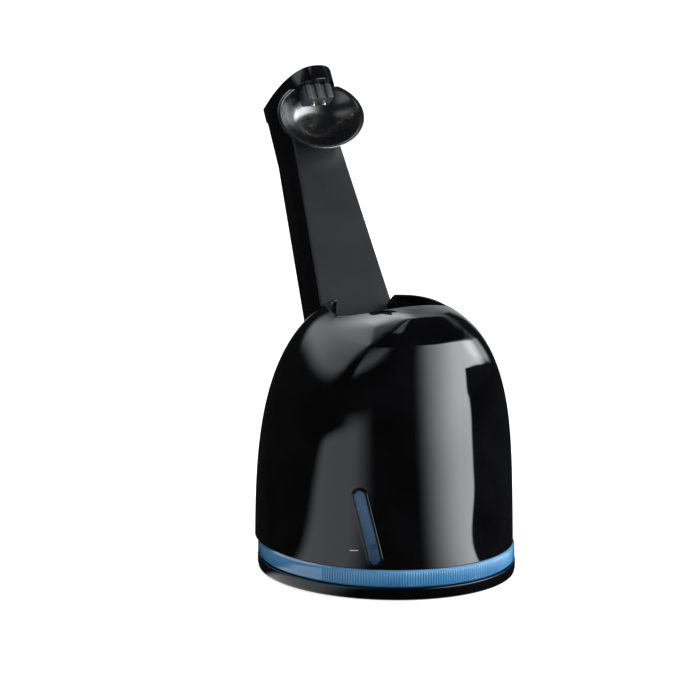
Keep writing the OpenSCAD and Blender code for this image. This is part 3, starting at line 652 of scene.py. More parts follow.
@dataclass
class DomeOutline:
    """The outer surface of the housing in millimetres.

    It is the part's own up to the crease. Above it the crown steps up to an opening that lies further
    back than the part's: mouth_b, mouth_y and crown_bow differ from the part's source.
    """

    half_w: float = 61.0
    half_d: float = 69.0
    dome_h: float = 136.5
    crease_z: float = 121.6
    front_lean: float = 7.0
    skirt_z: float = 14.9
    mouth_a: float = 28.0
    mouth_b: float = 34.5
    mouth_y: float = -2.5
    arch_power: float = 3.1
    arch_round: float = 2.3
    rear_power: float = 3.53
    rear_squareness: float = 2.2
    crease_sharpness: float = 46.0
    front_bow: tuple = ((0, 0), (0.33, 0.23), (0.62, 0.43), (0.79, 0.585), (0.895, 0.73), (0.965, 0.915),
                        (1, 1))
    crown_bow: tuple = ((0.4, 4), (0.8, 9.5), (0.87, 13), (0.95, 20), (1, 27))
    front_gain: float = 0.66
    front_gain_z: float = 120.0
    front_gain_power: float = 2.7
    panel_fade: float = 0.12
    panel_reach: float = 2.0
    ridge_line: tuple = ((0.0, 133.4), (8.0, 133.2), (14.5, 132.2), (22.9, 128.4), (28.6, 120.0),
                         (34.5, 110.0), (38.6, 98.0), (41.0, 84.0))
    ridge_rise: float = 0.45
    ridge_width: float = 6.5
    ridge_round: float = 0.25
    ridge_ends: float = 0.35
    ridge_power: float = 1.6
    ridge_front: float = -8.0

    def arch(self, z: np.ndarray) -> np.ndarray:
        """Half-width of the arch at a height, as a share of the foot's."""
        share = (np.maximum(z, 0) / self.dome_h) ** self.arch_power
        return np.maximum(0.0, 1 - share) ** (1 / self.arch_round)

    def front(self, z: np.ndarray) -> np.ndarray:
        """Depth of the shoulder in front of the middle."""
        rise = self.dome_h - self.crease_z
        table = [(p * self.crease_z, self.half_d - q * self.front_lean) for p, q in self.front_bow]
        table += [(self.crease_z + p * rise, self.half_d - self.front_lean - q) for p, q in self.crown_bow]
        heights, depths = zip(*table)
        return np.interp(z, heights, depths)

    def rear(self, z: np.ndarray) -> np.ndarray:
        """Depth behind the middle."""
        return self.half_d * np.sqrt(np.maximum(0.0, 1 - (np.maximum(z, 0) / self.dome_h) ** self.rear_power))

    def panel(self, z: np.ndarray) -> np.ndarray:
        """Half-depth of the leaning oval that the front panel follows."""
        return self.half_d - self.front_lean * z / self.crease_z

    def points(self, turn: np.ndarray, z: np.ndarray) -> np.ndarray:
        """Points of the surface.

        Args:
            turn: angles round the dome in radians, -90 degrees in front.
            z: heights.

        Returns:
            The points, n by 3.
        """
        ahead = np.sin(turn) < 0
        ahead_power = 2 + self.front_gain * (z / self.front_gain_z) ** self.front_gain_power
        power = np.where(ahead, ahead_power, self.rear_squareness)
        depth = np.where(ahead, self.front(z), self.rear(z))
        x = self.half_w * self.arch(z) * signed_power(np.cos(turn), 2 / power)
        y = depth * signed_power(np.sin(turn), 2 / power)
        reach = np.hypot(x / self.half_w, y / self.panel(z))
        k = self.crease_sharpness
        over = np.where(ahead, (1 + np.minimum(reach, self.panel_reach) ** k) ** (1 / k), 1.0)
        blend_back = np.clip(-np.sin(turn) / self.panel_fade, 0, 1)
        over = 1 + (over - 1) * blend_back
        return np.stack([x / over, y / over, z], -1)

    def ridge(self, points: np.ndarray, normals: np.ndarray) -> np.ndarray:
        """Raises the second crease.

        Args:
            points: the surface's points, n by 3, in millimetres.
            normals: the outward direction at each point.

        Returns:
            The points, pushed out along their normals near the ridge line.
        """
        line = np.array([(-x, z) for x, z in self.ridge_line[:0:-1]] + list(self.ridge_line))
        flat = points[:, [0, 2]]
        best = np.full(len(points), np.inf)
        along = np.zeros(len(points))
        lengths = np.r_[0, np.cumsum(np.hypot(*np.diff(line, axis=0).T))]
        for i in range(len(line) - 1):
            a, b = line[i], line[i + 1]
            step = b - a
            t = np.clip(((flat - a) @ step) / (step @ step), 0, 1)
            away = np.hypot(*(flat - (a + t[:, None] * step)).T)
            nearer = away < best
            best = np.where(nearer, away, best)
            along = np.where(nearer, lengths[i] + t * (lengths[i + 1] - lengths[i]), along)
        share = np.abs(along / lengths[-1] * 2 - 1)
        fade = np.clip((1.0 - share) / self.ridge_ends, 0, 1)
        fade = fade * fade * (3 - 2 * fade) * (points[:, 1] < self.ridge_front)
        soft = np.sqrt(best ** 2 + self.ridge_round ** 2) - self.ridge_round
        height = self.ridge_rise * np.clip(1 - soft / self.ridge_width, 0, 1) ** self.ridge_power * fade
        return points + normals * height[:, None]


@dataclass
class TowerPlace:
    """The tower's own frame: x across, n out of its face, v up along it, in millimetres."""

    lean: float = 37.0
    y: float = 90.4
    z: float = 190.8
    half: float = 11.8
    flare: float = 0.073

    def matrix(self) -> Matrix:
        """From (x, y into the tower, z up the tower) in metres to the row frame."""
        turn = Matrix.Rotation(-math.radians(self.lean), 4, "X")
        return Matrix.Translation((0, self.y * MM, self.z * MM)) @ turn

    def half_at(self, v: float) -> float:
        """Half-width of the face at a height up the tower."""
        return self.half - self.flare * min(v, 0.0)


DOME = DomeOutline()
TOWER = TowerPlace()


# Housing ----------------------------------------------------------------------------------------
@dataclass
class Housing:
    """The glossy dome: front and rear shells with the opening's rolled lip."""

    columns: int = 440
    rows: int = 150
    rim_rows: int = 8
    collar_rows: int = 6
    search_from: float = 60.0
    samples: int = 420
    sample_crowding: float = 2.2
    wall: float = 2.2
    lip_radius: float = 1.3
    lip_back: float = 0.9
    lip_drop: float = 1.3
    even_share: float = 0.62
    crowd_share: float = 0.38
    crowd_power: float = 1.7
    collar_z: float = 116.0
    collar_lap: float = 1.0
    room_low: float = -130.0
    room_high: float = 20.0
    seam_y: float = 21.0
    seam_gap: float = 0.3
    window_gap: float = 0.3

    def columns_of(self, turns: np.ndarray) -> np.ndarray:
        """The profile under each turn, from the skirt up to the edge of the opening.

        Args:
            turns: angles round the dome, one for each column.

        Returns:
            The profile points, columns by samples by 3.
        """
        d = DOME
        low = np.full_like(turns, self.search_from)
        high = np.full_like(turns, d.dome_h * 0.9999)
        for _ in range(50):
            mid = (low + high) / 2
            p = d.points(turns, mid)
            outside = (p[:, 0] / d.mouth_a) ** 2 + ((p[:, 1] - d.mouth_y) / d.mouth_b) ** 2 > 1
            low, high = np.where(outside, mid, low), np.where(outside, high, mid)
        share = 1 - (1 - np.linspace(0, 1, self.samples)) ** self.sample_crowding
        z = d.skirt_z + (low[:, None] - d.skirt_z) * share[None, :]
        return d.points(np.repeat(turns, self.samples), z.ravel()).reshape(len(turns), self.samples, 3)

    def surface(self, s: np.ndarray, t: np.ndarray) -> np.ndarray:
        """Points of the outer skin for the grid's s and t, in metres."""
        d = DOME
        turns_all = np.round(s * self.columns).astype(int)
        turns = 2 * math.pi * np.arange(self.columns + 1) / self.columns + math.pi / 2
        body = self.columns_of(turns)
        rows, rim_rows, collar_rows = self.rows, self.rim_rows, self.collar_rows
        body_rows = rows - rim_rows - collar_rows
        table = np.zeros((len(turns), rows + 1, 3))
        for i in range(len(turns)):
            path = body[i]
            steps = np.r_[0, np.cumsum(np.linalg.norm(np.diff(path, axis=0), axis=1))]
            cut_back = steps[-1] - self.lip_radius * self.lip_back
            wanted = np.linspace(0, 1, body_rows + 1)
            crowded = 1 - (1 - wanted) ** self.crowd_power
            wanted = cut_back * (wanted * self.even_share + crowded * self.crowd_share)
            body_points = np.stack([np.interp(wanted, steps, path[:, k]) for k in range(3)], -1)
            edge = path[-1]
            start = body_points[-1]
            end = edge + np.array([0, 0, -self.lip_radius * self.lip_drop])
            u = np.linspace(0, 1, rim_rows + 1)[1:, None]
            roll = (1 - u) ** 2 * start + 2 * u * (1 - u) * edge + u ** 2 * end
            v = np.linspace(0, 1, collar_rows + 1)[1:, None]
            bottom = np.array([end[0], end[1], self.collar_z - self.collar_lap])
            fall = end + (bottom - end) * v
            table[i] = np.concatenate([body_points, roll, fall])
        ring = table[:-1]
        across = np.roll(ring, -1, 0) - np.roll(ring, 1, 0)
        up = np.gradient(ring, axis=1)
        normal = np.cross(across, up)
        normal /= np.linalg.norm(normal, axis=-1, keepdims=True) + 1e-12
        normal = np.concatenate([normal, normal[:1]])
        flat = d.ridge(table.reshape(-1, 3), normal.reshape(-1, 3)).reshape(table.shape)
        flat[:, body_rows + rim_rows:] = table[:, body_rows + rim_rows:]
        rows_all = np.round(t * rows).astype(int)
        return flat[turns_all, rows_all] * MM

    def tower_tool(self, grow: float, front: float, back: float) -> bpy.types.Object:
        """A cutting shape along the tower.

        Args:
            grow: how much wider than the tower's face, on each side.
            front: how far it stands in front of the face.
            back: how far it reaches behind the face.

        Returns:
            The closed shape.
        """
        v0, v1 = self.room_low, self.room_high
        wide, thin = TOWER.half_at(v0) + grow, TOWER.half_at(0.0) + grow
        outline = [(-wide, v0), (wide, v0), (thin, 0.0), (thin, v1), (-thin, v1), (-thin, 0.0)]
        flat = Matrix.Rotation(math.pi / 2, 4, "X")
        tool = extrude_outline("tower_room", outline, -back, front, flat)
        tool.data.transform(TOWER.matrix())
        return tool

    def tower_room(self) -> bpy.types.Object:
        """The room for the whole tower, with a gap of 0.3 mm all round."""
        return self.tower_tool(2.7, 0.3, 23.8)

    def throat(self) -> bpy.types.Object:
        """The slot in front of the tower's face, inside its edges."""
        return self.tower_tool(-3.0, 14.0, 1.0)

    def build(self) -> None:
        """Builds both shells."""
        skin = sheet_from("dome", self.columns, self.rows, self.surface)
        close_normals(skin)
        add_modifier(skin, "SOLIDIFY", thickness=self.wall * MM, offset=-1.0, use_even_offset=False,
                     use_rim=True)
        cut(skin, self.tower_room())
        cut(skin, self.throat())
        gap = 2 * self.window_gap
        cut(skin, WINDOW.tool(WINDOW.frame_w + gap, WINDOW.frame_l + gap, -4, 8))
        rear = skin.copy()
        rear.data = skin.data.copy()
        bpy.context.collection.objects.link(rear)
        far = 300.0
        cut(skin, cube("half", (-far, -far, -far), (far, self.seam_y, far)), "INTERSECT")
        cut(rear, cube("half", (-far, self.seam_y + self.seam_gap, -far), (far, far, far)), "INTERSECT")
        cut(rear, BUTTON.tool(0.3))
        cut(rear, SOCKET.tool(0.3))
        for piece, node in ((skin, "front_shell"), (rear, "rear_shell")):
            piece.name = f"dome_{node}"
            smooth(piece, 40)
            dress(piece, Finish.BLACK_GLOSS)
            seat(piece, "housing", "black_gloss", node)


@dataclass
class DockingBowl:
    """The smooth bowl under the opening, with its rim flange and spigot."""

    floor_z: float = 82.0
    floor_a: float = 15.0
    floor_y: float = -10.0
    floor_ratio: float = 1.47
    wall: float = 1.8
    top_z: float = 115.7
    flange: float = 2.0
    tube_bore: float = 2.0
    spigot: float = 6.0
    side_gap: float = 0.4
    steps: int = 14
    fall_power: float = 1.25
    side_power: float = 0.92
    around: int = 144

    def profile(self) -> list[tuple[float, float, float]]:
        """Half-width, half-depth and height of each ring: down the inside, then up the outside."""
        top_a, top_b = DOME.mouth_a - self.side_gap, DOME.mouth_b - self.side_gap
        ratio = top_b / top_a
        rim_a, base_a = top_a - self.wall + self.side_gap, self.floor_a - self.wall
        base_z = self.floor_z + self.wall
        inner = [(rim_a, self.top_z)]
        for i in range(1, self.steps + 1):
            left = 1 - i / self.steps
            z = self.top_z + (base_z - self.top_z) * (1 - left ** self.fall_power)
            inner.append((base_a + (rim_a - self.floor_a + self.wall) * left ** self.side_power, z))
        bore, tube, spigot_z = self.tube_bore, self.tube_bore + 1, self.floor_z - self.spigot
        floor = [(self.floor_a * 0.66, base_z - 0.1), (self.floor_a * 0.36, base_z - 0.25),
                 (bore + 0.6, base_z - 0.35), (bore, base_z - 0.8), (bore, spigot_z), (tube, spigot_z),
                 (tube, self.floor_z), (self.floor_a - 0.8, self.floor_z), (self.floor_a, self.floor_z + 0.6)]
        under = self.top_z - self.flange
        outer = [(top_a - 0.3, under), (DOME.mouth_a + 1.4, under), (DOME.mouth_a + 1.5, self.top_z),
                 (top_a - 1.0, self.top_z)]
        round_to = bore + 3
        return [(a, a if a < round_to else self.depth_at(a, z, ratio), z) for a, z in inner + floor + outer]

    def depth_at(self, a: float, z: float, ratio: float) -> float:
        """Half-depth of a ring: the bowl is longer in shape at its floor than at its top."""
        return a * (self.floor_ratio + (ratio - self.floor_ratio) * self.rise(z))

    def rise(self, z: float) -> float:
        """How far up the bowl a height lies, from 0 at the floor to 1 under the flange."""
        return float(np.clip((z - self.floor_z) / (self.top_z - self.flange - self.floor_z), 0, 1))

    def middle(self, z: float) -> float:
        """Where the middle of a ring lies: the bowl leans back as the docked shaver does."""
        return self.floor_y + (DOME.mouth_y - self.floor_y) * self.rise(z)

    def build(self) -> None:
        """Builds the bowl."""
        table = np.array([(a, b, z, self.middle(z)) for a, b, z in self.profile()])

        def shape(s: np.ndarray, t: np.ndarray) -> np.ndarray:
            """The points for the grid's s and t, in metres."""
            turn = 2 * math.pi * s
            row = rows_at(table, t)
            x, y = row[:, 0] * np.cos(turn), row[:, 1] * np.sin(turn) + row[:, 3]
            return np.stack([x, y, row[:, 2]], -1) * MM

        bowl = sheet_from("docking_bowl_moulding", self.around, len(table) - 1, shape)
        close_normals(bowl, 1e-5)
        cut(bowl, HOUSING.tower_room(), solver="EXACT")
        smooth(bowl, 38)
        dress(bowl, Finish.BOWL_BLACK)
        seat(bowl, "housing", "bowl_black", "docking_bowl")


# Level window -------------------------------------------------------------------------------------
@dataclass
class LevelWindow:
    """The slot window with its frame, blue lens, pointer and level tick."""

    x: float = -32.3
    z: float = 35.0
    tilt: float = 15.0
    lens_w: float = 5.8
    lens_l: float = 36.4
    frame_wall: float = 1.1
    ledge: float = 0.6
    pointer_gap: float = 0.3
    bar_up: float = 7.2
    bar_h: float = 2.1
    plate_gap: float = 0.3
    tick_x: float = -39.3
    tick_z: float = 23.45
    tick_l: float = 3.3
    tick_rise: float = 0.35
    tick_h: float = 0.5
    tick_t: float = 0.12
    tick_out: float = 0.02

    @property
    def frame_w(self) -> float:
        """Outer width of the frame."""
        return self.lens_w + 2 * self.frame_wall

    @property
    def frame_l(self) -> float:
        """Outer length of the frame."""
        return self.lens_l + 2 * self.frame_wall

    def place(self) -> Matrix:
        """Where the window sits: x across the slot, y into the housing, z along the slot."""
        d = DOME
        y = -d.panel(self.z) * math.sqrt(1 - (self.x / d.half_w) ** 2) + 0.1
        turn = math.atan2(self.x / d.half_w ** 2, -y / d.half_d ** 2)
        lean = math.atan(d.front_lean / d.crease_z) * math.cos(turn)
        return (Matrix.Translation((self.x * MM, y * MM, self.z * MM)) @ Matrix.Rotation(turn, 4, "Z")
                @ Matrix.Rotation(-lean, 4, "X") @ Matrix.Rotation(-math.radians(self.tilt), 4, "Y"))

    def outline(self, w: float, l: float, steps: int = 20) -> list[tuple[float, float]]:
        """A rounded slot's outline in millimetres."""
        made = []
        for side in (1, -1):
            for i in range(steps + 1):
                a = math.pi * i / steps + (0 if side > 0 else math.pi)
                made.append((w / 2 * math.cos(a), side * (l - w) / 2 + w / 2 * math.sin(a)))
        return made

    def tool(self, w: float, l: float, y0: float, y1: float) -> bpy.types.Object:
        """A slot-shaped solid that stands in the front panel.

        Args:
            w: its width, in millimetres.
            l: its length.
            y0: its first depth behind the panel.
            y1: its second depth.

        Returns:
            The solid.
        """
        flat = Matrix.Rotation(math.pi / 2, 4, "X")
        made = extrude_outline("slot", self.outline(w, l), -y1, -y0, flat)
        made.data.transform(self.place())
        return made

    def build(self) -> None:
        """Builds the frame, lens and pointer."""
        rim = self.tool(self.frame_w, self.frame_l, -0.5, 2.6)
        bevel(rim, 0.22)
        cut(rim, self.tool(self.lens_w + 0.1, self.lens_l + 0.1, -1, 1.1), solver="EXACT")
        inset = 2 * self.ledge
        cut(rim, self.tool(self.lens_w - inset, self.lens_l - inset, -1, 3.6), solver="EXACT")
        rim.name = "window_rim"
        smooth(rim)
        dress(rim, Finish.BLACK_GLOSS)
        seat(rim, "housing", "black_gloss", "window_frame")
        lens = self.tool(self.lens_w, self.lens_l, -0.3, 1.05)
        bevel(lens, 0.5, 4)
        lens.name = "window_lens"
        smooth(lens)
        dress(lens, Finish.LENS_BLUE)
        seat(lens, "housing", "lens_blue", "level_lens")
        self.pointer()
        self.tick()

    def pointer(self) -> None:
        """Builds the pointer: a dark bar in front of a violet plate that covers the slot's lower end."""
        width = self.lens_w - 2 * self.ledge - 2 * self.pointer_gap
        length = self.lens_l - 2 * self.ledge - 2 * self.pointer_gap
        bar_z = -self.lens_l / 2 + self.bar_up
        bar = cube("pointer_bar", (-width / 2, 1.5, bar_z), (width / 2, 2.5, bar_z + self.bar_h))
        bevel(bar, 0.25)
        bar.data.transform(self.place())
        smooth(bar)
        dress(bar, Finish.BASE_BLACK)
        seat(bar, "level_pointer", "parts_dark", "level_pointer")
        flat = Matrix.Rotation(math.pi / 2, 4, "X")
        plate = extrude_outline("pointer_plate", self.outline(width, length), -4.3, -2.4, flat)
        bevel(plate, 0.3)
        plate_top = bar_z + self.bar_h + self.plate_gap
        cut(plate, cube("above", (-20, -20, plate_top), (20, 20, 50)), solver="EXACT")
        plate.data.transform(self.place())
        smooth(plate)
        dress(plate, Finish.POINTER_VIOLET)
        seat(plate, "level_pointer", "parts_dark")

    def tick(self) -> None:
        """Builds the plain level tick beside the window's lower end."""
        d = DOME

        def shape(s: np.ndarray, t: np.ndarray) -> np.ndarray:
            """The points for the grid's s and t, in metres."""
            x = self.tick_x + self.tick_l * s
            z = self.tick_z + self.tick_rise * s + self.tick_h * (t - 0.5)
            y = -d.panel(z) * np.sqrt(1 - (x / d.half_w) ** 2)
            return np.stack([x, y - self.tick_out, z], -1) * MM

        tick = sheet_from("level_tick", 12, 2, shape)
        close_normals(tick)
        add_modifier(tick, "SOLIDIFY", thickness=self.tick_t * MM, offset=0.0, use_rim=True)
        bevel(tick, 0.03, 2)
        smooth(tick)
        dress(tick, Finish.TICK_WHITE)
        seat(tick, "housing", "black_gloss")


@dataclass
class LiftButton:
    """The button at the back that frees the lift."""

    width: float = 18.0
    height: float = 9.0
    z: float = 75.0
    out: float = 0.6
    wall: float = 2.2
    stem_w: float = 8.0
    lever_y: float = 58.0
    grip_pitch: float = 2.2
    grip_t: float = 0.9
    grip_share: float = 0.62

    @property
    def y(self) -> float:
        """Depth of the housing's back at the button."""
        return float(DOME.rear(np.array(self.z)))

    def tool(self, gap: float) -> bpy.types.Object:
        """The hole for the button."""
        w, h = self.width / 2 + gap, self.height / 2 + gap
        return cube("button_hole", (-w, self.y - 8, self.z - h), (w, self.y + 12, self.z + h))

    def build(self) -> None:
        """Builds the button with grip bars."""
        w, h = self.width / 2, self.height / 2
        face_y = self.y + self.out
        button = cube("lift_button_cap", (-w, self.y - self.wall - 1, self.z - h), (w, face_y, self.z + h))
        only(button)
        bpy.ops.object.mode_set(mode="EDIT")
        bpy.ops.mesh.select_all(action="SELECT")
        bpy.ops.mesh.subdivide(number_cuts=1)
        bpy.ops.object.mode_set(mode="OBJECT")
        bevel(button, 0.5)
        bars = []
        for i in range(-1, 2):
            z = self.z + i * self.grip_pitch
            half, reach = self.grip_t / 2, w * self.grip_share
            bars.append(cube("bar", (-reach, face_y - half, z - half), (reach, face_y + 0.5, z + half)))
        for bar in bars:
            cut(button, bar, solver="EXACT")
        stem = cube("stem", (-self.stem_w / 2, self.lever_y + 1.8, self.z - 1),
                    (self.stem_w / 2, self.y - self.wall, self.z + 1))
        bevel(stem, 0.2, 2)
        button = join("lift_button_cap", [button, stem])
        smooth(button)
        dress(button, Finish.INNER_GREY)
        seat(button, "lift_button", "inner_grey", "lift_button")


@dataclass
class PowerSocket:
    """The two-pole inlet at the back."""

    x: float = 38.0
    z: float = 28.0
    width: float = 15.0
    height: float = 12.0
    deep: float = 12.0
    rim: float = 1.4
    wall: float = 2.2

    def place(self) -> Matrix:
        """Where the inlet sits: y out of the housing."""
        d = DOME
        y = d.half_d * math.sqrt(1 - (self.x / d.half_w) ** 2) - 0.6
        turn = -math.atan2(self.x / d.half_w ** 2, y / d.half_d ** 2)
        return Matrix.Translation((self.x * MM, y * MM, self.z * MM)) @ Matrix.Rotation(turn, 4, "Z")

    def tool(self, gap: float) -> bpy.types.Object:
        """The hole for the inlet."""
        w, h = self.width / 2 + gap, self.height / 2 + gap
        hole = cube("socket_hole", (-w, -8, -h), (w, 12, h))
        hole.data.transform(self.place())
        return hole

    def build(self) -> None:
        """Builds the inlet with its figure-of-eight recess."""
        w, h = self.width / 2, self.height / 2
        body = cube("inlet", (-w, -self.deep, -h), (w, 0, h))
        bevel(body, 0.4)
        flange = cube("flange", (-w - self.rim, -self.deep, -h - self.rim),
                      (w + self.rim, -self.wall - 0.9, h + self.rim))
        bevel(flange, 0.3, 2)
        cut(body, flange, "UNION", "EXACT")
        for side in (-1, 1):
            for radius, low, high in ((3.6, -self.deep + 3, 1.0), (1.0, -self.deep - 1, 1.0)):
                hole = cylinder("lobe", radius, low, high, 40)
                lying = Matrix.Rotation(-math.pi / 2, 4, "X")
                hole.data.transform(Matrix.Translation((side * 3 * MM, 0, 0)) @ lying)
                cut(body, hole, solver="EXACT")
        body.data.transform(self.place())
        body.name = "inlet_housing"
        smooth(body)
        dress(body, Finish.BASE_BLACK)
        seat(body, "housing", "parts_dark", "power_socket")


# Base -----------------------------------------------------------------------------------------------
@dataclass
class Base:
    """The black tray and the blue cartridge with its ribbed band."""

    tray_h: float = 6.0
    rim_t: float = 4.0
    band_z: float = 6.3
    band_h: float = 8.3
    cartridge_back: float = 28.0
    cartridge_top: float = 48.0
    foot_r: float = 6.0
    foot_t: float = 1.6
    foot_x: float = 36.0
    foot_y: float = 42.0
    screw_x: float = 9.0
    screw_y: float = 46.0
    tub_inset: float = 8.6
    tub_wall: float = 1.6
    band_wall: float = 2.2
    rib_pitch: float = 1.45
    rib_out: float = 0.6
    rib_shoulder: float = 0.6
    band_columns: int = 2400

    def ring_body(self, name: str, rings: Sequence[tuple[float, float, float]],
                  around: int) -> bpy.types.Object:
        """A closed oval body, capped at both ends.

        Args:
            name: its name.
            rings: half-width, half-depth and height of each ring, in millimetres.
            around: how many sides a ring has.

        Returns:
            The body.
        """
        table = np.array(rings)

        def shape(s: np.ndarray, t: np.ndarray) -> np.ndarray:
            """The points for the grid's s and t, in metres."""
            turn = 2 * math.pi * s
            row = rows_at(table, t)
            return np.stack([row[:, 0] * np.cos(turn), row[:, 1] * np.sin(turn), row[:, 2]], -1) * MM

        made = sheet_from(name, around, len(table) - 1, shape)
        close_normals(made)
        fill_rings(made)
        close_normals(made)
        return made

    def tray(self) -> None:
        """Builds the tray with its rounded lip, foot pockets and rear rim."""
        a, b, h = DOME.half_w, DOME.half_d, self.tray_h
        lip = [(a - 2.6, b - 2.6, 0.0), (a - 1.6, b - 1.6, 0.0)]
        lip += [(a - 1.6 + 1.25 * math.sin(t), b - 1.6 + 1.25 * math.sin(t), 1.25 - 1.25 * math.cos(t))
                for t in (0.3, 0.6, 0.9, 1.2, 1.57)]
        lip += [(a - 0.05, b - 0.05, 2.6), (a, b, h - 1.1)]
        lip += [(a - 0.35 + 0.35 * math.cos(t), b - 0.35 + 0.35 * math.cos(t), h - 0.35 + 0.35 * math.sin(t))
                for t in (0.0, 0.5, 1.0, 1.57)]
        lip += [(a - 2.0, b - 2.0, h)]
        tray = self.ring_body("tray_moulding", lip, 256)
        rim_z = self.band_z + self.band_h
        rim = self.ring_body("rim", [(a - 0.2, b - 0.2, h - 1), (a - 0.2, b - 0.2, rim_z - 0.3),
                                     (a - 0.5, b - 0.5, rim_z)], 256)
        inner_a, inner_b = a - self.rim_t, b - self.rim_t
        cut(rim, self.ring_body("hollow", [(inner_a, inner_b, h - 3), (inner_a, inner_b, 30)], 256))
        cut(rim, cube("behind", (-100, self.cartridge_back + 0.3, 0), (100, 100, 50)), "INTERSECT")
        cut(tray, rim, "UNION")
        for middle in self.foot_places():
            cut(tray, cylinder("pocket", self.foot_r + 0.15, -1, self.foot_t, 48, middle))
        for x in (-1, 1):
            for radius, top in ((1.7, 8.0), (3.2, 2.4)):
                cut(tray, cylinder("hole", radius, -1, top, 36, (x * self.screw_x, self.screw_y)))
        smooth(tray, 32)
        dress(tray, Finish.BASE_BLACK)
        seat(tray, "base", "black_gloss", "base_tray")

    def foot_places(self) -> list[tuple[float, float]]:
        """Where the middles of the four feet lie."""
        return [(x * self.foot_x, y * self.foot_y) for x in (-1, 1) for y in (-1, 1)]

    def feet(self) -> None:
        """Builds the four rubber feet, each with a shallow ring in its sole."""
        parts = []
        for middle in self.foot_places():
            foot = cylinder("foot", self.foot_r, 0, self.foot_t, 48, middle)
            only(foot)
            bpy.ops.object.mode_set(mode="EDIT")
            bpy.ops.mesh.select_mode(type="FACE")
            bpy.ops.mesh.select_all(action="DESELECT")
            bpy.ops.object.mode_set(mode="OBJECT")
            for face in foot.data.polygons:
                face.select = face.normal.z < -0.9
            bpy.ops.object.mode_set(mode="EDIT")
            for inwards, depth in ((1.5, 0.0), (0.5, -0.3), (1.2, 0.0), (0.4, 0.3)):
                bpy.ops.mesh.inset(thickness=inwards * MM, depth=depth * MM)
            bpy.ops.mesh.select_mode(type="VERT")
            bpy.ops.object.mode_set(mode="OBJECT")
            bevel(foot, 0.3, 2, 60)
            parts.append(foot)
        feet = join("foot_pads", parts)
        smooth(feet, 40)
        dress(feet, Finish.RUBBER)
        seat(feet, "base", "rubber", "rubber_feet")

    def band_wave(self, turn: np.ndarray) -> np.ndarray:
        """How far the band stands out at a turn: rounded ribs round the front, smooth behind."""
        pitch = self.rib_pitch / DOME.half_d
        away = np.abs((turn + math.pi / 2 + math.pi) % (2 * math.pi) - math.pi)
        ribbed = np.clip((math.radians(55) - away) / math.radians(1.5), 0, 1)
        wave = np.abs(np.cos(math.pi * away / pitch)) ** 0.7
        return self.rib_out * (1 - ribbed * (1 - wave))

    def cartridge(self) -> None:
        """Builds the tub whose oval band carries the ribs."""
        a = DOME.half_w - 0.3 - self.rib_out
        b = DOME.half_d - 0.3 - self.rib_out
        z0, z1 = self.band_z, self.band_z + self.band_h
        back = -self.band_wall
        rows = [(back, z0, 0), (-1.0, z0, 0), (-0.25, z0 + 0.1, 0.0), (0.0, z0 + 0.45, 0.0),
                (0.0, z0 + 0.9, 0.35), (0.0, z0 + 1.3, 1.0), (0.0, z0 + 3.0, 1.0), (0.0, z1 - 3.0, 1.0),
                (0.0, z1 - 1.3, 1.0), (0.0, z1 - 0.9, 0.35), (0.0, z1 - 0.45, 0.0), (-0.25, z1 - 0.1, 0.0),
                (-0.6, z1, 0), (back, z1, 0), (back, (z0 + z1) / 2, 0), (back, z0, 0)]
        table = np.array(rows)

        def shape(s: np.ndarray, t: np.ndarray) -> np.ndarray:
            """The points for the grid's s and t, in metres."""
            turn = 2 * math.pi * s
            row = rows_at(table, t)
            ribbed = self.band_wave(turn) * row[:, 2] + self.rib_out * (1 - row[:, 2]) * self.rib_shoulder
            out = row[:, 0] + np.where(row[:, 2] > 0, ribbed, 0.0)
            return np.stack([(a + out) * np.cos(turn), (b + out) * np.sin(turn), row[:, 1]], -1) * MM

        band = sheet_from("cartridge_band", self.band_columns, len(table) - 1, shape)
        close_normals(band)
        ta = DOME.half_w - self.tub_inset
        tb = float(DOME.panel(np.array(self.cartridge_top))) - self.tub_inset
        floor_z, top = z0 + self.tub_wall, self.cartridge_top - 2
        tub = self.ring_body("tub", [(a - 1.2, b - 1.2, z0 + 0.05), (a - 1.0, b - 1.0, floor_z),
                                     (ta + 0.6, tb + 0.6, floor_z), (ta, tb, floor_z + 0.6),
                                     (ta, tb, top)], 200)
        wa, wb = ta - self.tub_wall, tb - self.tub_wall
        hollow = self.ring_body("hollow", [(wa - 1, wb - 1, floor_z), (wa, wb, floor_z + 1),
                                           (wa, wb, top + 3)], 200)
        cut(hollow, cube("behind", (-100, self.cartridge_back - self.tub_wall, 0), (100, 100, 100)))
        cut(tub, hollow)
        cut(band, tub, "UNION")
        cut(band, cube("behind", (-100, self.cartridge_back, -10), (100, 100, 100)))
        smooth(band, 28)
        band.name = "cartridge_tub_moulding"
        dress(band, Finish.CARTRIDGE_BLUE)
        seat(band, "base", "cartridge_blue", "cartridge_tub")

    def build(self) -> None:
        """Builds the base."""
        self.tray()
        self.feet()
        self.cartridge()


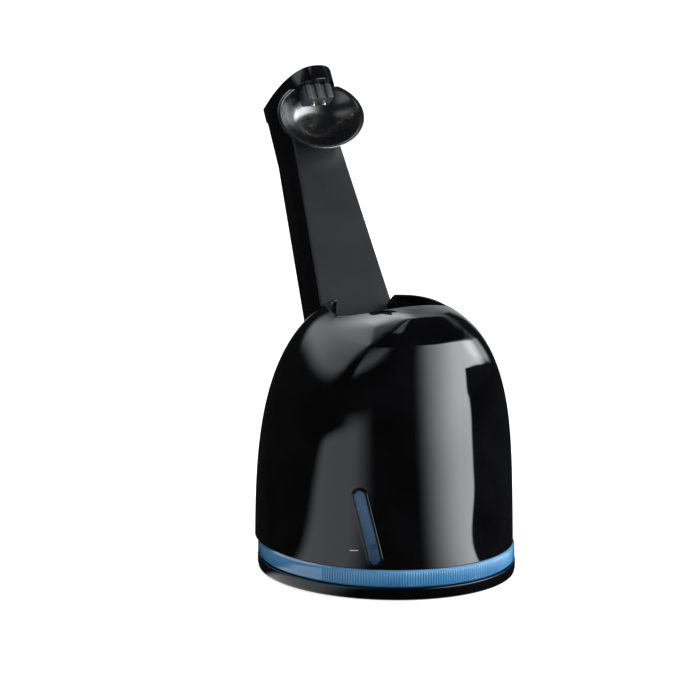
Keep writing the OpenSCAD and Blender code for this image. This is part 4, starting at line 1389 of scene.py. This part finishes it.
# Tower ----------------------------------------------------------------------------------------------
@dataclass
class Tower:
    """The leaning tower with its hood, dish and contact block."""

    root: float = 100.0
    depth: float = 23.5
    wall: float = 2.2
    side_out: float = 2.4
    hood_top: float = 33.4
    hood_t: float = 8.0
    hood_reach: float = 22.7
    nose_start: float = 18.0
    nose_power: float = 2.47
    dish_a: float = 22.3
    dish_b: float = 18.0
    dish_depth: float = 13.0
    dish_wall: float = 1.6
    dish_v: float = 10.3
    block_w: float = 14.6
    block_h: float = 8.0
    block_front: float = 17.0
    block_back: float = 8.4
    pin_half_gap: float = 2.8
    pin_r: float = 1.1
    pin_n: float = 12.7
    screw_heights: tuple = (-84.0, -52.0, -20.0, 16.0)

    @property
    def hood_under(self) -> float:
        """Height of the hood's underside."""
        return self.hood_top - self.hood_t

    def loft(self, name: str, section: Callable[[float], list[tuple[float, float]]],
             levels: Sequence[float]) -> bpy.types.Object:
        """A closed body lofted through sections up the tower.

        Args:
            name: the piece's name.
            section: gives the outline (x, y into the tower) at a height.
            levels: the heights.

        Returns:
            The body, placed on the tower.
        """
        made = self.section_body(name, np.array([[(x, y, v) for x, y in section(v)] for v in levels]))
        made.data.transform(TOWER.matrix())
        return made

    def section_body(self, name: str, table: np.ndarray) -> bpy.types.Object:
        """A closed body through sections.

        Args:
            name: its name.
            table: the sections' corners, levels by corners by 3, in millimetres.

        Returns:
            The body, in the tower's own frame.
        """
        levels, count = table.shape[:2]

        def shape(s: np.ndarray, t: np.ndarray) -> np.ndarray:
            """The points for the grid's s and t, in metres."""
            column = np.round(s * count).astype(int) % count
            row = np.round(t * (levels - 1)).astype(int)
            return table[row, column] * MM

        made = sheet_from(name, count, levels - 1, shape)
        close_normals(made)
        fill_rings(made)
        close_normals(made)
        return made

    def covers(self) -> None:
        """Builds the grey front cover and the black rear cover with its chamfered edges."""

        def front(v: float) -> list[tuple[float, float]]:
            """The front cover's outline at a height, with rounded front edges."""
            half = TOWER.half_at(v)
            r = 0.7
            made = [(-half, self.wall), (-half, r)]
            made += [(-half + r - r * math.cos(a), r - r * math.sin(a)) for a in (0.4, 0.8, 1.2)]
            made += [(-half + r, 0.0)]
            made += [(half * k, 0.0) for k in (-0.6, -0.2, 0.2, 0.6)]
            made += [(half - r, 0.0)]
            made += [(half - r + r * math.sin(a), r - r * math.cos(a)) for a in (0.4, 0.8, 1.2)]
            return made + [(half, r), (half, self.wall)]

        def rear(v: float) -> list[tuple[float, float]]:
            """The rear cover's outline at a height: chamfers, flat sides and round back edges."""
            near, far = TOWER.half_at(v), TOWER.half_at(v) + self.side_out
            y0, y1 = self.wall, self.depth
            r = 3.0
            right = [(near + 0.05, y0), (near + 0.45, y0 + 0.1), (far - 0.4, y0 + 4.9),
                     (far - 0.12, y0 + 5.8), (far, y0 + 7.0), (far, y1 - r)]
            right += [(far - r + r * math.cos(a), y1 - r + r * math.sin(a))
                      for a in (0.3, 0.6, 0.9, 1.2, 1.5)]
            right += [(far - r - 0.3, y1)]
            return right + [(-x, y) for x, y in right[::-1]]

        top = self.hood_under - 0.01
        levels = [-self.root, -99.0, -60.0, -30.0, -6.0, -2.0, 0.0, 2.0, 6.0, top]
        face = self.loft("tower_face_cover", front, levels)
        smooth(face, 30)
        dress(face, Finish.TOWER_GREY)
        seat(face, "housing", "tower_grey", "tower_front_cover")
        shell = self.loft("tower_back_cover", rear, levels)

        def inner(v: float) -> list[tuple[float, float]]:
            """The hollow's outline at a height."""
            half = TOWER.half_at(v) + self.side_out - self.wall
            low, high = self.wall - 1.0, self.depth - self.wall
            return [(-half, low), (-half, high), (half, high), (half, low)]

        inside = self.loft("inside", inner, [-self.root + self.wall, 0.0, self.hood_under + 1])
        cut(shell, inside, solver="EXACT")
        lying = Matrix.Rotation(-math.pi / 2, 4, "X")
        for v in self.screw_heights:
            for radius, deep in ((1.3, 5), (2.5, 3)):
                hole = cylinder("hole", radius, self.depth - deep, self.depth + 1, 32)
                hole.data.transform(TOWER.matrix() @ Matrix.Translation((0, 0, v * MM)) @ lying)
                cut(shell, hole, solver="EXACT")
        smooth(shell, 24)
        dress(shell, Finish.TOWER_BLACK)
        seat(shell, "housing", "black_gloss", "tower_rear_cover")

    def hood_outline(self, inset: float, steps: int = 64) -> list[tuple[float, float]]:
        """The hood's long oval nose and square back, in millimetres."""
        r = TOWER.half + self.side_out - inset
        nose = self.nose_start + self.hood_reach - inset
        power = 2 / self.nose_power
        made = []
        for i in range(steps + 1):
            u = math.pi * i / steps
            c, s = math.cos(u), math.sin(u)
            made.append((math.copysign(abs(c) ** power, c) * r, self.nose_start - nose * abs(s) ** power))
        back = self.depth - inset
        return made + [(-r, back - 1.0), (-r + 0.4, back), (r - 0.4, back), (r, back - 1.0)]

    def hood(self) -> None:
        """Builds the hood cap with its bevelled top edge, and the plate under it."""
        low, high = self.hood_under, self.hood_top
        profile = [(0.25, low), (0.0, low + 0.25), (0.0, high - 1.0), (0.12, high - 0.62),
                   (0.75, high - 0.18), (1.1, high - 0.04), (1.6, high)]
        sections = [[(x, y, v) for x, y in self.hood_outline(inset)] for inset, v in profile]
        cap = self.section_body("hood_shell", np.array(sections))
        cut(cap, extrude_outline("hollow", self.hood_outline(2.0), low - 1, high - 2.0), solver="EXACT")
        cap.data.transform(TOWER.matrix())
        smooth(cap, 24)
        dress(cap, Finish.TOWER_BLACK)
        seat(cap, "housing", "black_gloss", "hood_cap")
        plate = extrude_outline("hood_plate", self.hood_outline(2.1), low, low + 1.8)
        bevel(plate, 0.25, 2)
        cut(plate, cube("slot", (-7.8, 4, low - 1), (7.8, 17.5, low + 3)), solver="EXACT")
        plate.data.transform(TOWER.matrix())
        smooth(plate, 30)
        dress(plate, Finish.TOWER_BLACK)
        seat(plate, "housing", "black_gloss", "hood_underside")

    def dish(self) -> None:
        """Builds the glossy dish with its thin rolled lip."""
        steps = 22

        def radius(t: float) -> float:
            """The dish's radius at a share of its depth."""
            return self.dish_a * (0.3 + 0.7 * math.sqrt(t))

        rings = [(0.0, 0.0)] + [(radius(0.0) * k, 0.0) for k in (0.3, 0.6, 0.85)]
        rings += [(radius((i / steps) ** 2), (i / steps) ** 2 * self.dish_depth) for i in range(steps + 1)]
        lip_r = self.dish_wall / 2
        rings += [(self.dish_a - lip_r + lip_r * math.cos(a), self.dish_depth - 0.05 + 0.35 * math.sin(a))
                  for a in (0.5, 1.1, 1.6, 2.1, 2.7)]
        inner = []
        for i in range(steps, -1, -1):
            t = (i / steps) ** 2
            lift = 0.0 if i == steps else self.dish_wall * (1 - t) + 0.1
            inner.append((max(radius(t) - self.dish_wall, 0), t * self.dish_depth + lift))
        hollow_r, hollow_n = radius(0) - self.dish_wall, self.dish_wall + 0.1
        rings += inner[1:] + [(hollow_r * k, hollow_n) for k in (0.8, 0.5, 0.2)] + [(0.0, hollow_n)]
        table = np.array(rings)

        def shape(s: np.ndarray, t: np.ndarray) -> np.ndarray:
            """The points for the grid's s and t, in metres."""
            turn = 2 * math.pi * s
            row = rows_at(table, t)
            x = row[:, 0] * np.cos(turn)
            z = row[:, 0] * np.sin(turn) * self.dish_b / self.dish_a
            return np.stack([x, -row[:, 1], z + self.dish_v], -1) * MM

        dish = sheet_from("contact_dish_moulding", 160, len(table) - 1, shape)
        close_normals(dish)
        top = self.hood_under - 0.3
        cut(dish, cube("above", (-100, -100, top), (100, 100, 200)), solver="EXACT")
        w = self.block_w / 2 + 0.3
        room = cube("block_room", (-w, -self.block_front - 2, self.hood_under - self.block_h - 0.3),
                    (w, -self.block_back + 0.3, 60))
        cut(dish, room, solver="EXACT")
        dish.data.transform(TOWER.matrix())
        smooth(dish, 42)
        dress(dish, Finish.DISH_BLACK)
        seat(dish, "housing", "black_gloss", "contact_dish")

    def contacts(self) -> None:
        """Builds the contact block with its three ribs, and the two plated pins."""
        low, high = self.hood_under - self.block_h, self.hood_under
        block = cube("contact_block_moulding", (-self.block_w / 2, -self.block_front, low),
                     (self.block_w / 2, -self.block_back, high))
        bevel(block, 0.7)
        ribs = []
        for i in range(-1, 2):
            x = i * self.block_w * 0.34
            rib = cube("rib", (x - 1.3, -self.block_front - 0.9, low + 0.02),
                       (x + 1.3, -self.block_front + 1.1, high - 0.02))
            bevel(rib, 0.42)
            ribs.append(rib)
        for rib in ribs:
            cut(block, rib, "UNION", "EXACT")
        for side in (-1, 1):
            hole = cylinder("pin_hole", self.pin_r + 0.05, low - 1, high - 0.8, 32,
                            (side * self.pin_half_gap, -self.pin_n))
            cut(block, hole, solver="EXACT")
        block.data.transform(TOWER.matrix())
        smooth(block, 35)
        dress(block, Finish.CONTACT_GREY)
        seat(block, "housing", "contact_grey", "contact_block")
        tip = low - 1.9
        for side, name in ((-1, "left"), (1, "right")):
            pin = cylinder(f"plated_pin_{name}", self.pin_r, tip, tip + 5, 32,
                           (side * self.pin_half_gap, -self.pin_n))
            bevel(pin, 0.45, 4)
            pin.data.transform(TOWER.matrix())
            smooth(pin, 50)
            dress(pin, Finish.CONTACT_METAL)
            seat(pin, f"contact_pin_{name}", "contact_metal", f"contact_pin_{name}")

    def build(self) -> None:
        """Builds the tower."""
        self.covers()
        self.hood()
        self.dish()
        self.contacts()


# Studio -----------------------------------------------------------------------------------------------
@dataclass(frozen=True)
class Card:
    """A lit card of the tent: low edge, high edge and how soft each is, in degrees, both ways."""

    turn: tuple[float, float, float, float]
    height: tuple[float, float, float, float]
    light: float


@dataclass
class Studio:
    """The pale floor, the reflection tent, the soft lights and the camera at the photograph's angle."""

    target: Point = (0.0, 0.0, 0.095)
    distance: float = 4.0
    right: Point = (0.9304, -0.3665, 0.0)
    ahead: Point = (0.3581, 0.9091, -0.2130)
    up: Point = (0.0781, 0.1982, 0.9770)
    key_start: float = -1.0
    key_full: float = 46.0
    key_end: float = 56.5
    key_light: float = 7.5
    floor_turn: tuple = (-92.0, -48.0, 6.0, 12.0)
    floor_light: float = 1.25
    side_cards: tuple = (Card((-84.0, -44.0, 10.0, 12.0), (16.0, 30.0, 6.0, 10.0), 1.1),
                         Card((60.0, 108.0, 8.0, 8.0), (3.0, 22.0, 1.5, 10.0), 3.0))
    back_light: float = 4.2
    rear_cards: tuple = (Card((146.0, 168.0, 4.0, 4.0), (-10.0, 32.0, 2.0, 4.0), 0.45),
                         Card((-170.0, -112.0, 6.0, 6.0), (18.0, 48.0, 4.0, 6.0), 1.2))
    lining: float = 0.012
    tent_profile: tuple = ((0.0, 0.0005), (0.1, 0.0005), (0.3, 0.0005), (0.7, 0.0005), (1.2, 0.0005),
                           (1.5, 0.06), (1.65, 0.3), (1.7, 0.7), (1.6, 1.15), (1.3, 1.6), (0.85, 1.9),
                           (0.35, 2.05), (-0.064, 2.1))
    tent_foot: float = 0.064
    tent_tuck: float = 0.0085
    tent_tuck_reach: float = 0.3
    tent_pole: float = 2.09
    aside: float = -17.56 * MM
    above: float = 12.05 * MM
    lens: float = 428.1

    def camera(self) -> None:
        """Adds the camera."""
        right, ahead, up = Vector(self.right), Vector(self.ahead), Vector(self.up)
        centre = Vector(self.target) + right * self.aside + up * self.above
        data = bpy.data.cameras.new("camera")
        data.lens = self.lens
        data.sensor_width = 36.0
        data.clip_start, data.clip_end = 0.1, 60.0
        camera = bpy.data.objects.new("camera", data)
        bpy.context.collection.objects.link(camera)
        turn = Matrix((right, up, -ahead)).transposed().to_4x4()
        camera.matrix_world = Matrix.Translation(centre - ahead * self.distance) @ turn
        bpy.context.scene.camera = camera

    def pale_stage(self, name: str, size: float) -> None:
        """Adds the floor, which shows white.

        Args:
            name: its name.
            size: the length of its sides in metres.
        """
        def build(g: Graph) -> Wire:
            """Adds the nodes and returns the shader."""
            seen = g.seen_ray()
            speck = g.blend((g.noise(30.0) - 0.45).clamp(), (0.80, 0.80, 0.80), (0.84, 0.84, 0.84))
            cloth = g.principled({"Base Color": speck, "Roughness": 0.9, "Specular IOR Level": 0.1})
            glow = g.node("ShaderNodeEmission", {}, {"Color": (1.0, 1.0, 1.0), "Strength": 0.75})
            lit = g.node("ShaderNodeAddShader", {}, {0: cloth, 1: glow})
            return g.node("ShaderNodeMixShader", {}, {0: seen, 1: cloth, 2: lit})

        clear_selection()
        bpy.ops.mesh.primitive_plane_add(size=size, location=(0, 0, -0.0002))
        floor = bpy.context.object
        floor.name = name
        floor.data.materials.append(material("pale_floor", build))

    def world(self) -> None:
        """Sets a soft studio room that shows white behind the floor's edge."""
        world = bpy.data.worlds.new("studio_room")
        bpy.context.scene.world = world
        world.use_nodes = True
        g = Graph(world.node_tree)
        seen = g.seen_ray()
        room = g.node("ShaderNodeBackground", {}, {"Color": (0.93, 0.96, 1.0), "Strength": 0.3})
        white = g.node("ShaderNodeBackground", {}, {"Color": (1.0, 1.0, 1.0), "Strength": 1.0})
        made = g.node("ShaderNodeMixShader", {}, {0: seen, 1: room, 2: white})
        g.output(made, "ShaderNodeOutputWorld")

    def tent(self) -> None:
        """Adds the tent round the stage: black cards with lit panels, which only gloss reflects."""
        table = np.array(self.tent_profile)

        def shape(s: np.ndarray, t: np.ndarray) -> np.ndarray:
            """The points for the grid's s and t, in metres."""
            place = t * (len(table) - 1)
            out = np.interp(place, np.arange(len(table)), table[:, 0])
            z = np.interp(place, np.arange(len(table)), table[:, 1])
            turn = 2 * math.pi * s
            tuck = self.tent_tuck * (np.clip(1 - out / self.tent_tuck_reach, 0, 1) * (z < 1))
            wide = np.where(z > self.tent_pole, 0.0, self.tent_foot + out - tuck)
            deep = np.where(z > self.tent_pole, 0.0, self.tent_foot + out)
            return np.stack([wide * np.cos(turn), deep * np.sin(turn), z], -1)

        tent = sheet_from("reflection_tent", 96, 66, shape)
        close_normals(tent)
        tent.data.materials.append(material("tent_panels", self.tent_panels))
        for ray in ("camera", "diffuse", "transmission", "volume_scatter", "shadow"):
            setattr(tent, f"visible_{ray}", False)

    def tent_panels(self, g: Graph) -> Wire:
        """The lit panels of the tent.

        Each point of the tent has a turn, from the front towards +X, and a height, both in degrees as
        seen from the middle of the station's foot, and a reach from there in metres.

        Args:
            g: the tree that the nodes go into.

        Returns:
            The light that the tent gives.
        """
        x, y, z = g.split(g.place())
        reach = (x * x + y * y) ** 0.5
        degree = 180 / math.pi
        turn = g.node("ShaderNodeMath", {"operation": "ARCTAN2"}, {0: x, 1: y * -1.0}) * degree
        height = g.node("ShaderNodeMath", {"operation": "ARCTAN2"}, {0: z, 1: reach}) * degree

        def rise(value: Wire, low: float, high: float) -> Wire:
            """Goes softly from 0 at low to 1 at high."""
            part = ((value - low) * (1.0 / (high - low))).clamp()
            return part * part * (part * -2.0 + 3.0)

        def band(value: Wire, low: float, high: float, soft_low: float, soft_high: float) -> Wire:
            """1 between low and high, with soft edges."""
            start = rise(value, low - soft_low, low + soft_low)
            return start * (1.0 - rise(value, high - soft_high, high + soft_high))

        # the key panel lies on the floor and climbs the wall, and its end bends to stay straight in gloss
        wall = rise(reach, 1.15, 1.55)
        bend = rise(reach, 0.6, 0.85) * 4.0
        near = 9.0
        end = (wall * 33.0 - bend) + (self.key_end - near) + rise(reach, 0.17, 0.36) * near
        past = (turn - end) / (wall * 11.0 + 1.5)
        key = rise(turn, self.key_start, self.key_full) * (1.0 - rise(past, -1.0, 1.0))
        key = key * rise(reach, 0.085, 0.15)
        further = rise(reach, 0.45, 0.85) * 0.28 + 1.0
        light = key * (1.0 - rise(height, 20.0, 32.0)) * further * self.key_light
        floor = band(turn, *self.floor_turn) * (1.0 - rise(reach, 0.6, 0.95))
        light = light + floor * self.floor_light
        for card in self.side_cards:
            light = light + band(turn, *card.turn) * band(height, *card.height) * card.light
        above = rise(y, 0.05, 0.8) * rise(height, 25.0, 45.0)
        light = light + above * (band(x, -0.45, 0.4, 0.3, 0.25) * 0.8 + 0.2) * self.back_light
        for card in self.rear_cards:
            light = light + band(turn, *card.turn) * band(height, *card.height) * card.light
        light = light + self.lining
        return g.node("ShaderNodeEmission", {}, {"Color": (0.93, 0.965, 1.0), "Strength": light})

    def softbox(self, name: str, place: Point, aim: Point, size: tuple[float, float], watts: float,
                colour: Colour = (1.0, 1.0, 1.0)) -> None:
        """Adds a softbox that gloss doesn't reflect.

        Args:
            name: its name.
            place: where it hangs, in metres.
            aim: the point that it faces.
            size: its width and height.
            watts: its power.
            colour: the colour of its light.
        """
        data = bpy.data.lights.new(name, "AREA")
        data.shape = "RECTANGLE"
        data.size, data.size_y = size
        data.energy = watts
        data.color = colour
        lamp = bpy.data.objects.new(name, data)
        bpy.context.collection.objects.link(lamp)
        lamp.visible_glossy = False
        lamp.location = place
        lamp.rotation_mode = "QUATERNION"
        lamp.rotation_quaternion = (Vector(aim) - Vector(place)).to_track_quat("-Z", "Y")

    def build(self) -> None:
        """Builds the studio."""
        self.camera()
        self.pale_stage("floor", 60.0)
        self.world()
        self.tent()
        self.softbox("key_softbox", (1.0, -0.75, 0.75), (0, 0, 0.08), (1.2, 1.2), 26.0, (0.95, 0.98, 1.0))
        self.softbox("overhead_softbox", (0.0, 0.5, 1.3), (0, 0, 0.1), (0.9, 0.7), 12.0)


# Carried-over nodes -------------------------------------------------------------------------------
CARRIED: dict[str, Finish] = {
    "base_screws": Finish.STEEL, "guide_column": Finish.INNER_GREY, "cartridge_lid": Finish.LID_BLUE,
    "port_seals": Finish.SEAL_GREY, "shell_screws": Finish.STEEL, "deck_plate": Finish.INNER_GREY,
    "drain_tube": Finish.TUBE_GREY, "lift_carriage": Finish.INNER_GREY, "carriage_screws": Finish.STEEL,
    "pump_housing": Finish.PARTS_DARK, "pump_motor": Finish.MOTOR_TIN, "pump_rotor": Finish.TUBE_GREY,
    "suction_tube": Finish.TUBE_GREY, "supply_tube": Finish.TUBE_GREY, "circuit_board": Finish.BOARD_GREEN,
    "board_parts": Finish.PARTS_DARK, "socket_pins": Finish.CONTACT_METAL, "tower_bracket": Finish.INNER_GREY,
    "tower_screws": Finish.STEEL, "pin_springs": Finish.STEEL, "pointer_guide": Finish.CHANNEL_BLUE,
    "latch_lever": Finish.INNER_GREY, "latch_pin": Finish.STEEL, "latch_spring": Finish.STEEL,
}


def dress_carried_nodes() -> None:
    """Gives every CAD node that stays in view its procedural finish."""
    for name, finish in CARRIED.items():
        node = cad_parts[name]
        for slot in node.material_slots:
            slot.material = material_of(finish)
        LOG.info("%s: CAD node dressed as %s", name, finish.value.name)


WINDOW = LevelWindow()
BUTTON = LiftButton()
SOCKET = PowerSocket()
HOUSING = Housing()


def main() -> None:
    """Builds the studio and every piece, in order."""
    logging.basicConfig(level=logging.INFO, format="%(name)s %(message)s")
    scene = bpy.context.scene
    scene.view_settings.view_transform = "Standard"
    Studio().build()
    HOUSING.build()
    DockingBowl().build()
    WINDOW.build()
    BUTTON.build()
    SOCKET.build()
    Base().build()
    Tower().build()
    dress_carried_nodes()
    clear_selection()


if __name__ == "__main__":
    main()
